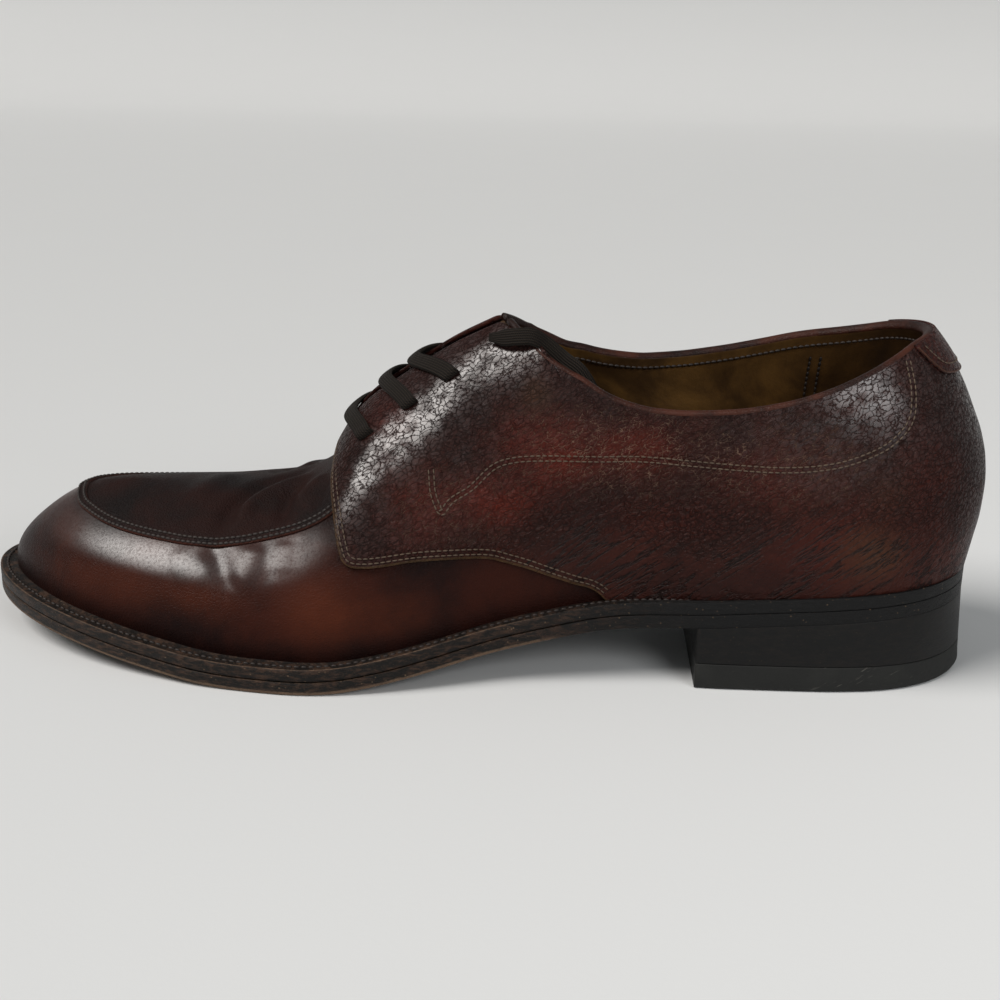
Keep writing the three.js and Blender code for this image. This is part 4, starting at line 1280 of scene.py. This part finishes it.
def quarter_bounds(topline, side):
    """The quarter's lower and upper edges in turn and rise, its front edge in (along, height), and how far
    along the collar meets the facing. side is -1 on the outer side."""
    edge = quarter_lines()
    corner = int(np.argmin(np.abs(edge[:, 0] - 0.606 * SOLE_LENGTH)))
    lower, front = edge[: corner + 1], edge[corner:]
    foot = np.linspace(back_of(0.0), lower[0, 0], 120)[:-1]
    low = from_side(np.r_[foot, lower[:, 0]], np.r_[upper_foot(foot), lower[:, 1]])
    s = np.linspace(0.4, 0.621, 240) * SOLE_LENGTH
    facing_turn, facing_rise = from_plan(s, ridge_y(s) + side * facing_half(s))
    facing_turn = np.abs(facing_turn)
    facing_z = last_point(-side * facing_turn, facing_rise)[:, 2]
    gap = facing_z - up_from(s / SOLE_LENGTH, topline(s / SOLE_LENGTH))
    crossing = int(np.argmax(gap < 0))
    top = np.linspace(-14, s[crossing], 400)
    top_turn, top_rise = from_side(top, up_from(top / SOLE_LENGTH, topline(top / SOLE_LENGTH)))
    begin = int(np.argmax(top > back_of(np.sin(top_rise))))
    top_turn, top_rise = top_turn[begin:], top_rise[begin:]
    top_turn[0] = 0
    up = np.r_[top_turn, facing_turn[crossing + 1 :]], np.r_[top_rise, facing_rise[crossing + 1 :]]
    return low, up, front, s[crossing]


def quarter_grid(side, topline):
    """The grid of turn and rise that covers a quarter."""
    columns, rows = QUARTER_GRID
    (lt, lr), (ut, ur), front, _ = quarter_bounds(topline, side)
    order = np.argsort(ut, kind="stable")
    ut, ur = ut[order], soften(ur[order], 4)
    c = np.linspace(0, 1, columns)
    low_turn = lt[-1] * c
    low_rise = np.interp(low_turn, lt, lr)
    up_turn = ut[-1] * c
    up_rise = np.interp(up_turn, ut, ur)
    low_rise[0], up_rise[0] = lr[0], ur[0]
    ft, fr = from_side(front[:, 0], front[:, 1])
    keep = fr < ur[-1]
    ft, fr = np.r_[ft[keep], ut[-1]], np.r_[fr[keep], ur[-1]]
    r = np.linspace(0, 1, rows)
    run = np.r_[0, np.cumsum(np.hypot(np.diff(ft), np.diff(fr)))]
    ft, fr = np.interp(r, run / run[-1], ft), np.interp(r, run / run[-1], fr)
    turn = low_turn[None] * (1 - r[:, None]) + up_turn[None] * r[:, None]
    rise = low_rise[None] * (1 - r[:, None]) + up_rise[None] * r[:, None]
    share = step_up(0.6, 1.0, c)[None]
    turn = turn + (ft - turn[:, -1])[:, None] * share
    rise = rise + (fr - rise[:, -1])[:, None] * share
    return -side * turn, rise


def patch(rows, key, along, height, power):
    """The strength of a named patch of colour at these places; a higher power gives it a firmer edge."""
    total = np.zeros(np.shape(along))
    for name, s, z, wide, tall, share in rows:
        if name == key:
            total += share * np.exp(-(((along - s) / wide) ** 2 + ((height - z) / tall) ** 2) ** power)
    return np.clip(total, 0, 1)


def gloss(normal, low, high):
    """The wax polish lies on what faces up, and less on what faces the toe."""
    return step_up(low, high, normal[..., 2]) * (1 - step_up(0.42, 0.72, -normal[..., 0]))


def spread(values, count, rim_value):
    """Values of a panel's face given to all its points; its rim gets rim_value, its back the face's own."""
    out = np.full(count, float(rim_value))
    out[: values.size] = values.ravel()
    out[-values.size :] = values.ravel()
    return out


def both_sides(halves):
    """Rows of the outer half, turned round, and of the inner one, joined at the back of the heel."""
    return [np.concatenate([outer[::-1], inner[1:]]) for outer, inner in zip(*halves)]


class SHOE_OT_quarters(bpy.types.Operator):
    """Makes the two quarters with their facings"""

    bl_idname = "shoe.quarters"
    bl_label = "Quarters"

    def execute(self, context):
        for side, topline in SIDES:
            name = "quarter_outer" if side < 0 else "quarter_inner"
            turn, rise = quarter_grid(side, topline)
            place, normal = last_skin(turn, rise)
            along = SOLE_LENGTH / 2 - place[..., 0]
            out = QUARTER + throat_lift(along, np.sin(rise))
            mirror = np.array([1, -side, 1])
            lift = relief(place * mirror + normal * mirror * out[..., None], QUARTER_FOLDS)
            place = place + normal * (out + lift * sizes(context).fold_depth)[..., None]
            p, f = panel(place, normal, QUARTER_SHEET)
            extra = self.attributes(along, place[..., 2], normal, len(p))
            finish_mesh(name, p, f, material(context, "quarter"), extra=extra)
        return {"FINISHED"}

    def attributes(self, along, z, normal, count):
        """What leads the colour and gloss of a quarter's points."""
        low = 1 - step_up(12, 30, z - upper_foot(along) + 5 * np.sin(along * 0.09))
        back_top = np.exp(-(((along - 50) / 26) ** 2 + ((z - 80) / 15) ** 2) ** 1.4)
        extra = {
            key: spread(patch(QUARTER_PATCHES, key, along, z, 1.5), count, 0)
            for key in ("warm", "orange", "pale", "dusk")
        }
        extra["even"] = spread(np.clip(low * 0.85 + back_top * 0.3, 0, 1), count, 1)
        shine = np.clip(0.85 * gloss(normal, 0.12, 0.62) + 0.8 * back_top, 0, 1)
        extra["gloss"] = spread(shine * (1 - 0.75 * step_up(0.72, 0.95, normal[..., 2])), count, 0)
        rows, columns = z.shape
        bottom = (along[0] > 112).astype(float)
        rim = np.r_[bottom, np.ones(rows - 1), np.zeros(columns - 1), np.zeros(rows - 2)]
        extra["rim"] = np.zeros(count)
        extra["rim"][z.size : z.size + 4 * len(rim)] = np.tile(rim, 4)
        face = np.zeros(z.shape)
        face[0], face[:, -1] = bottom, 1
        extra["rim"][: z.size] = face.ravel() * 0.8
        return extra


def collar_path(out, drop=0.0):
    """A path round the collar from the outer facing's top to the inner one's, with directions out of it."""
    parts = []
    for side, topline in SIDES:
        _, (turn, rise), _, end = quarter_bounds(topline, side)
        place, normal = last_skin(-side * turn, rise)
        past = SOLE_LENGTH / 2 - place[:, 0] >= end - 0.3
        count = int(np.argmax(past)) if past.any() else len(past)
        line = place[:count] + normal[:count] * out
        line[:, 2] -= drop
        parts.append((line, normal[:count]))
    both = even(np.hstack(both_sides(parts)), step=COLLAR_STEP)
    return soften(both[:, :3], 2), unit(soften(both[:, 3:], 3))


class SHOE_OT_collar(bpy.types.Operator):
    """Makes the rolled binding round the collar"""

    bl_idname = "shoe.collar"
    bl_label = "Collar binding"

    def execute(self, context):
        thick = sizes(context).binding * 1000
        path, normal = collar_path(-0.05)
        profile = circle(20) * (1.25, thick / 2 * 1.12)
        p, f = tube(path, profile, normal)
        # The binding darkens toward both its ends.
        dusk = 1 - step_up(8, 26, from_ends(path) * COLLAR_STEP)
        finish_mesh("collar_binding", p, f, material(context, "binding"),
                    extra={"dusk": np.r_[np.repeat(dusk, len(profile)), 1, 1]})
        return {"FINISHED"}


class SHOE_OT_heel_tab(bpy.types.Operator):
    """Makes the small tab at the back of the collar"""

    bl_idname = "shoe.heel_tab"
    bl_label = "Heel tab"

    def execute(self, context):
        lower = smooth_line(TAB_AT, TAB_UP)
        grids = []
        for side, topline in SIDES:
            s = np.linspace(-12, 0.1 * SOLE_LENGTH, 500)
            lt, lr = from_side(s, up_from(s / SOLE_LENGTH, lower(s / SOLE_LENGTH)))
            ut, ur = from_side(s, up_from(s / SOLE_LENGTH, topline(s / SOLE_LENGTH)))
            on_low = np.flatnonzero(lt > 1e-4)[0] - 1
            on_up = np.flatnonzero(ut > 1e-4)[0] - 1
            lt, lr, ut, ur = lt[on_low:], lr[on_low:], ut[on_up:], ur[on_up:]
            fine = np.linspace(0, min(lt[-1], ut[-1]), 600)
            low, up = np.interp(fine, lt, lr), np.interp(fine, ut, ur)
            meet = int(np.argmax(low >= up - 0.012)) or len(fine) - 1
            t = fine[meet] * (1 - (1 - np.linspace(0, 1, 60)) ** 1.3)
            low, up = np.interp(t, lt, lr), np.interp(t, ut, ur)
            grids.append((-side * t, low, np.maximum(up, low + 0.004)))
        turn, low, up = both_sides(grids)
        low, up = soften(low, 2), soften(up, 2)
        r = np.linspace(0, 1, 40)[:, None]
        rise = low[None] * (1 - r) + up[None] * r
        turn = np.broadcast_to(turn, rise.shape)
        place, normal = last_skin(turn, rise)
        place = place + normal * (QUARTER + TAB)
        p, f = panel(place, normal, TAB_SHEET)
        finish_mesh("heel_tab", p, f, material(context, "quarter"),
                    extra={"even": np.full(len(p), 0.5), "warm": np.full(len(p), 0.35),
                           "gloss": np.full(len(p), 0.3)})
        piping = 0.3
        p, f = tube(place[0] - normal[0] * 0.1, circle(12) * piping, normal[0])
        finish_mesh("heel_tab_piping", p, f, material(context, "binding"),
                    extra={"warm": np.full(len(p), 0.35)})
        return {"FINISHED"}


class SHOE_OT_lining(bpy.types.Operator):
    """Makes the lining inside the collar and the foot"""

    bl_idname = "shoe.lining"
    bl_label = "Lining"

    def execute(self, context):
        parts = []
        for side, topline in SIDES:
            _, (turn, rise), _, _ = quarter_bounds(topline, side)
            even_turn = turn[-1] * np.linspace(0, 1, 170)
            parts.append((-side * even_turn, np.interp(even_turn, turn, rise)))
        turn, top = both_sides(parts)
        r = np.linspace(0, 1, 70)[:, None]
        rise = 0.02 + (top[None] - 0.02) * r
        turn = np.broadcast_to(turn, rise.shape)
        place, normal = last_skin(turn, rise)
        inside = place - normal * (WALL + LINING_OFF)
        # painted shade: the lining darkens high at the back of the heel cup and toward the facings
        worn = np.exp(-((turn / 0.9) ** 2)) * step_up(0.2, 0.8, np.sin(rise)) * 0.75
        worn = np.maximum(worn, step_up(0.4, 0.46, (1 - np.cos(turn)) / 2))
        p, f = panel(inside, -normal, LINING_SHEET, edge=0.25)
        finish_mesh("lining", p, f, material(context, "lining"),
                    extra={"worn": spread(worn, len(p), 0.8)})
        return {"FINISHED"}


class SHOE_OT_tongue(bpy.types.Operator):
    """Makes the tongue under the facings"""

    bl_idname = "shoe.tongue"
    bl_label = "Tongue"

    def execute(self, context):
        rear, front = 0.475 * SOLE_LENGTH, 0.655 * SOLE_LENGTH
        s = np.linspace(rear, front, 80)
        v = np.linspace(-1, 1, 56)
        narrowed = np.sqrt(1 - 0.35 * (1 - step_up(0, 9, s - rear)) ** 2)
        half = 23 * (1 - 0.2 * (s - rear) / (front - rear)) * narrowed
        y = ridge_y(s)[:, None] + half[:, None] * v[None]
        rounded = (1 - np.sqrt(1 - 0.75 * v**2))[None] * 9 * (1 - step_up(0, 30, s - rear))[:, None]
        place, normal = last_skin(*from_plan(s[:, None] + rounded, y))
        p, f = panel(place - normal * TONGUE_OFF, normal, TONGUE_SHEET, edge=0.7)
        finish_mesh("tongue_leather", p, f, material(context, "apron"),
                    replaces=["tongue"])
        return {"FINISHED"}


class SHOE_OT_insole(bpy.types.Operator):
    """Makes the insole cover inside the shoe"""

    bl_idname = "shoe.insole"
    bl_label = "Insole"

    def execute(self, context):
        turn = np.linspace(0, 2 * np.pi, 300, endpoint=False)
        place, normal = last_skin(turn, np.full(300, 0.02))
        flat = normal.copy()
        flat[:, 2] = 0
        flat = unit(flat)
        rings = []
        for inset, lift in ((2.4, 0.35), (2.4, 2.5), (2.6, 3.0), (3.0, 3.28)):
            ring = place - flat * inset
            ring[:, 2] = upper_foot(SOLE_LENGTH / 2 - ring[:, 0]) + lift
            rings.append(ring)
        p, f = cross_closed(rings)
        # The insole is darkened a quarter of the way toward the lining's dark brown all over.
        finish_mesh("insole_cover", p, f, material(context, "lining"),
                    replaces=["insole"], extra={"worn": np.full(len(p), 0.25)})
        return {"FINISHED"}


# The sides of outsole and welt from below to above: inset from the outline, rise, how rubbed it is
OUTSOLE_SIDE = [
    (9.0, 0.0, 0), (2.2, 0.0, 0.9), (0.7, 0.08, 1), (0.18, 0.45, 1), (0.02, 1.1, 0.85), (0.0, 2.0, 0.1),
    (0.0, 3.5, 0), (0.06, 3.95, 0.55), (0.3, 4.2, 0.7), (0.6, 4.26, 0.2), (9.0, 4.26, 0),
]
WELT_SIDE = [
    (13.0, 0.0, 0), (0.5, 0.0, 0.3), (0.14, 0.25, 0.5), (0.0, 0.8, 0.15), (0.0, 3.2, 0), (0.1, 3.6, 0.45),
    (0.4, 3.86, 0.85), (0.8, 3.9, 0.3), (13.0, 3.9, 0),
]


class SHOE_OT_sole(bpy.types.Operator):
    """Makes the welt and the outsole"""

    bl_idname = "shoe.sole"
    bl_label = "Welt and outsole"

    def execute(self, context):
        share = (1 - np.cos(2 * np.pi * np.arange(SOLE_POINTS) / SOLE_POINTS)) / 2
        forward = step_up(84, 150, share * SOLE_LENGTH)
        edge = material(context, "edge")
        rings, extra = self.rings(OUTSOLE_SIDE, 0.0, forward, step_up(0.2, 1, forward))
        p, f = cross_closed(rings)
        finish_mesh("outsole_leather", p, f, edge, replaces=["outsole"], extra=extra)
        rings, extra = self.rings(WELT_SIDE, OUTSOLE + GAP, forward, forward)
        p = np.vstack(rings)
        f = outward(p, wall_faces(len(rings), SOLE_POINTS))
        last = len(p) - SOLE_POINTS
        for k in range(SOLE_POINTS):
            after = (k + 1) % SOLE_POINTS
            f.append((k, last + k, last + after, after))
        finish_mesh("welt_leather", p, f, edge, replaces=["welt"], extra=extra)
        return {"FINISHED"}

    def rings(self, rows, base, forward, wear):
        """Rings of a side, smoother at the heel than forward, and what leads their wear and their blacker heel
        and waist.
        """
        rings, worn = [], []
        for inset, rise, rubbed in rows:
            inset = inset if inset > 8 else inset * (0.12 + 0.88 * forward)
            rings.append(outline_ring(inset, lambda s, rise=rise: underside(s) + (base + rise)))
            worn.append(rubbed * wear)
        return rings, {"worn": np.concatenate(worn), "dusk": np.tile(1 - forward, len(rings))}


def heel_rings(levels):
    """Rings of the heel's D shape, with a straight breast, for rows of (inset, height function)."""
    rings = []
    curved = int(HEEL_POINTS * 0.72)
    for inset, height in levels:
        angle_end = math.acos(1 - 2 * (HEEL_LENGTH - inset) / (SOLE_LENGTH - 2 * inset))
        angle = np.linspace(-angle_end, angle_end, curved)
        share = (1 - np.cos(angle)) / 2
        arc = np.stack(outline_points(np.where(angle >= 0, share, -share), inset), -1)
        breast = np.linspace(arc[-1], arc[0], HEEL_POINTS - curved + 2)[1:-1]
        along, y = np.vstack([arc, breast]).T
        rings.append(np.stack([SOLE_LENGTH / 2 - along, y, height(along)], -1))
    return rings


class SHOE_OT_heel(bpy.types.Operator):
    """Makes the heel block and its rubber top lift"""

    bl_idname = "shoe.heel"
    bl_label = "Heel"

    def execute(self, context):
        def flat(z):
            return lambda s: np.full_like(s, z)

        def between(share):
            return lambda s: TOP_LIFT + GAP + (underside(s) - 2 * GAP - TOP_LIFT) * share

        def flare(z):
            return -HEEL_FLARE + 0.4 * HEEL_FLARE * z / TOP_LIFT

        deep = 3.0
        levels = [(deep, flat(0.0)), (flare(0) + 1.1, flat(0.0)), (flare(0) + 0.35, flat(0.3)),
                  (flare(0), flat(1.0)), (flare(4), flat(4.0)), (flare(7.2), flat(7.6)),
                  (flare(7.7) + 0.04, flat(7.92)), (flare(8) + 0.3, flat(8.0)), (deep, flat(8.0))]
        p, f = fan_closed(heel_rings(levels))
        along = SOLE_LENGTH / 2 - p[:, 0]
        finish_mesh("top_lift_rubber", p, f, material(context, "lift"),
                    replaces=["top_lift"], extra={"worn": np.exp(-(((along - 45) / 30.0) ** 2))})
        foot = flare(TOP_LIFT)
        levels = [(deep, between(-0.02)), (foot + 0.3, between(-0.02)), (foot + 0.04, between(-0.01)),
                  (foot, between(0.02)), (foot / 2, between(0.5)), (0.0, between(1.0)),
                  (0.03, between(1.015)), (0.12, between(1.03)), (deep, between(1.03))]
        p, f = fan_closed(heel_rings(levels))
        finish_mesh("heel_stack", p, f, material(context, "heel"),
                    replaces=["heel_base"], extra={"worn": np.zeros(len(p))})
        return {"FINISHED"}


def stitch_tree():
    """A geometry tree that lays one rounded stitch on each point."""
    tree = bpy.data.node_groups.new("stitches", "GeometryNodeTree")
    face = tree.interface
    face.new_socket("Geometry", in_out="INPUT", socket_type="NodeSocketGeometry")
    for name, default in (("Length", 0.002), ("Width", 0.0006), ("Height", 0.0005)):
        socket = face.new_socket(name, in_out="INPUT", socket_type="NodeSocketFloat")
        socket.default_value = default
    face.new_socket("Material", in_out="INPUT", socket_type="NodeSocketMaterial")
    face.new_socket("Geometry", in_out="OUTPUT", socket_type="NodeSocketGeometry")
    new, link = tree.nodes.new, tree.links.new
    given, result = new("NodeGroupInput"), new("NodeGroupOutput")
    bead = new("GeometryNodeMeshUVSphere")
    for name, value in (("Segments", 8), ("Rings", 6), ("Radius", 0.5)):
        bead.inputs[name].default_value = value
    turn = new("GeometryNodeInputNamedAttribute")
    turn.data_type = "FLOAT_VECTOR"
    turn.inputs["Name"].default_value = "turn"
    size = new("ShaderNodeCombineXYZ")
    for socket, name in zip(size.inputs, ("Length", "Width", "Height")):
        link(given.outputs[name], socket)
    euler = new("FunctionNodeEulerToRotation")
    link(turn.outputs["Attribute"], euler.inputs[0])
    lay = new("GeometryNodeInstanceOnPoints")
    link(given.outputs["Geometry"], lay.inputs["Points"])
    link(bead.outputs["Mesh"], lay.inputs["Instance"])
    link(euler.outputs[0], lay.inputs["Rotation"])
    link(size.outputs[0], lay.inputs["Scale"])
    real, smooth = new("GeometryNodeRealizeInstances"), new("GeometryNodeSetShadeSmooth")
    paint = new("GeometryNodeSetMaterial")
    link(lay.outputs[0], real.inputs[0])
    link(real.outputs[0], smooth.inputs[0])
    link(smooth.outputs[0], paint.inputs[0])
    link(given.outputs["Material"], paint.inputs["Material"])
    link(paint.outputs[0], result.inputs[0])
    return tree


def stitches(name, places, runs, outs, size, finish):
    """Lays stitches at places, each along its run and facing out, and returns the plain mesh piece."""
    tree = bpy.data.node_groups.get("stitches") or stitch_tree()
    turns = []
    for run, out in zip(runs, outs):
        x = run / np.linalg.norm(run)
        z = out - x * np.dot(out, x)
        z = z / np.linalg.norm(z)
        y = np.cross(z, x)
        turns.append(tuple(Matrix((x, y, z)).transposed().to_euler("XYZ")))
    mesh = bpy.data.meshes.new(name + "_points")
    mesh.from_pydata(((np.asarray(places) + SHIFT) * 0.001).tolist(), [], [])
    attribute = mesh.attributes.new("turn", "FLOAT_VECTOR", "POINT")
    attribute.data.foreach_set("vector", np.asarray(turns, np.float32).ravel())
    holder = bpy.data.objects.new(name + "_points", mesh)
    bpy.context.scene.collection.objects.link(holder)
    modifier = holder.modifiers.new("stitches", "NODES")
    modifier.node_group = tree
    ids = {i.name: i.identifier for i in tree.interface.items_tree if i.in_out == "INPUT"}
    modifier[ids["Length"]], modifier[ids["Width"]], modifier[ids["Height"]] = size
    modifier[ids["Material"]] = finish
    holder.update_tag()
    graph = bpy.context.evaluated_depsgraph_get()
    plain = bpy.data.meshes.new_from_object(holder.evaluated_get(graph))
    bpy.data.objects.remove(holder)
    plain.name = name
    if not plain.materials:
        plain.materials.append(finish)
    return settle(name, plain)


def stitch_row(path, normal, pitch):
    """Places, runs and outward directions of a row of stitches along a path."""
    both = even(np.hstack([path, normal]), step=pitch)
    run = np.gradient(both[:, :3], axis=0)
    return both[:, :3], run, unit(both[:, 3:])


def beside(path, normal, aside):
    """A path moved sideways over the surface, to the right of its run where aside is positive."""
    run = unit(np.gradient(path, axis=0))
    return path + np.cross(run, normal) * aside


def side_row(points, out, side=-1):
    """A path over the upper given by the (along, height) of points seen from the side."""
    line = spline(points, step=0.6)
    turn, rise = from_side(line[:, 0], line[:, 1])
    place, normal = last_skin(-side * turn, rise)
    height = out + throat_lift(SOLE_LENGTH / 2 - place[:, 0], np.sin(rise))
    return place + normal * height[:, None], normal


# The curved double row over each quarter, as (along, height)
ORNAMENT = [
    (167, 63.2), (166.1, 57), (163.1, 51.8), (159.6, 55.4), (154.1, 58.8), (147.7, 64.5), (141.3, 66.6),
    (131.7, 67.6), (116.9, 68), (105.2, 68.5), (87, 68.2), (64.7, 67.8), (50, 69.4), (39.2, 72.9),
    (32.3, 76.9), (27.8, 82.4), (27.2, 90), (28.7, 97.5),
]


class SHOE_OT_stitches(bpy.types.Operator):
    """Sews the upper's light rows and the dark rows of the apron seam and the welt"""

    bl_idname = "shoe.stitches"
    bl_label = "Stitches"

    def execute(self, context):
        size = sizes(context)
        light = self.quarter_rows(size.row_gap * 1000, size.stitch_pitch * 1000)
        path, normal = collar_path(QUARTER + THREAD_OFF, COLLAR_ROW_DROP)
        light.append(stitch_row(path, normal, COLLAR_PITCH))
        tab = smooth_line(TAB_AT, TAB_UP)
        row = [(s, float(up_from(s / SOLE_LENGTH, tab(s / SOLE_LENGTH) + 0.024))) for s in TAB_ROW_AT]
        for side in (-1, 1):
            path, normal = side_row(row, QUARTER + TAB + THREAD_OFF, side)
            light.append(stitch_row(path, normal, size.stitch_pitch * 1000))
        dark = self.lining_rows() + self.seam_rows(size) + self.welt_rows()
        fine = (size.stitch_length, size.stitch_width, size.stitch_width)
        for name, rows, finish, scale in (
            ("light_stitches", light, "stitch", fine),
            ("dark_stitches", dark, "dark_stitch", (0.0019, 0.001, 0.00085)),
        ):
            places, runs, outs = (np.vstack([row[k] for row in rows]) for k in range(3))
            stitches(name, places, runs, outs, scale, material(context, finish))
        return {"FINISHED"}

    def quarter_rows(self, gap, pitch):
        """The double row along each quarter's edge, then the curved one over it."""
        rows = []
        edge = quarter_lines()
        edge = edge[edge[:, 1] > upper_foot(edge[:, 0]) + 2.5]
        for side in (-1, 1):
            path, normal = side_row(edge, QUARTER + THREAD_OFF, side)
            from_ridge = np.abs(path[:, 1] - ridge_y(SOLE_LENGTH / 2 - path[:, 0]))
            stop = np.argmax(from_ridge < 8) or len(path)
            path, normal = path[:stop], normal[:stop]
            for away in (1.0, 1.0 + gap):
                rows.append(stitch_row(beside(path, normal, -side * away), normal, pitch))
        for side in (-1, 1):
            path, normal = side_row(ORNAMENT, QUARTER + THREAD_OFF, side)
            for away in (0, gap):
                rows.append(stitch_row(beside(path, normal, side * away), normal, pitch))
        return rows

    def lining_rows(self):
        """The row under the lining's edge and the two upright ones at the inner side's heel."""
        out = -WALL - LINING_THREAD_OFF
        path, normal = collar_path(out, LINING_ROW_DROP)
        rows = [stitch_row(path, -normal, LINING_PITCH)]
        for along in (45.0, 48.4):
            path, normal = side_row([(along, 62), (along, 74), (along - 0.5, 88)], out, side=1)
            rows.append(stitch_row(path, -normal, LINING_PITCH))
        return rows

    def seam_rows(self, size):
        """The row on each side of the raised apron seam."""
        place, normal = seam_path(size.seam_height * 1000, size.fold_depth)
        return [
            stitch_row(beside(place, normal, away), normal, SEAM_PITCH)
            for away in (-SEAM_ROW_ASIDE, SEAM_ROW_ASIDE)
        ]

    def welt_rows(self):
        """The row on the welt's upper face, forward of the heel on both sides."""
        half = 400
        ring = outline_ring(WELT_ROW_INSET, lambda s: underside(s) + SOLE_EDGE + THREAD_OFF, 2 * half)
        keep = (SOLE_LENGTH / 2 - ring[:, 0]) / SOLE_LENGTH > 0.28
        up = np.array([0.0, 0, 1])
        return [
            stitch_row(part, np.broadcast_to(up, part.shape), WELT_PITCH)
            for part in (ring[:half][keep[:half]], ring[half:][keep[half:]])
        ]


class SHOE_PT_panel(bpy.types.Panel):
    """Lists the shoe's pieces"""

    bl_label = "Apron toe blucher"
    bl_idname = "SHOE_PT_panel"
    bl_space_type = "VIEW_3D"
    bl_region_type = "UI"
    bl_category = "Shoe"

    def draw(self, context):
        for group in (sizes(context), colours(context)):
            box = self.layout.box()
            for key in group.__annotations__:
                box.prop(group, key)
        for operator in OPERATORS:
            self.layout.operator(operator.bl_idname)


OPERATORS = (
    SHOE_OT_stage, SHOE_OT_lace_end, SHOE_OT_lace_bars, SHOE_OT_sole, SHOE_OT_heel, SHOE_OT_insole,
    SHOE_OT_lining, SHOE_OT_vamp, SHOE_OT_apron, SHOE_OT_apron_seam, SHOE_OT_quarters, SHOE_OT_collar,
    SHOE_OT_heel_tab, SHOE_OT_tongue, SHOE_OT_stitches,
)
CLASSES = (ShoeSizes, ShoeColours, *OPERATORS, SHOE_PT_panel)


def register():
    for cls in CLASSES:
        bpy.utils.register_class(cls)
    bpy.types.Scene.shoe_sizes = PointerProperty(type=ShoeSizes)
    bpy.types.Scene.shoe_colours = PointerProperty(type=ShoeColours)


def unregister():
    del bpy.types.Scene.shoe_colours
    del bpy.types.Scene.shoe_sizes
    for cls in reversed(CLASSES):
        bpy.utils.unregister_class(cls)


def main():
    register()
    for operator in OPERATORS:
        group, name = operator.bl_idname.split(".")
        getattr(getattr(bpy.ops, group), name)()
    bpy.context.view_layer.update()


if __name__ == "__main__":
    main()
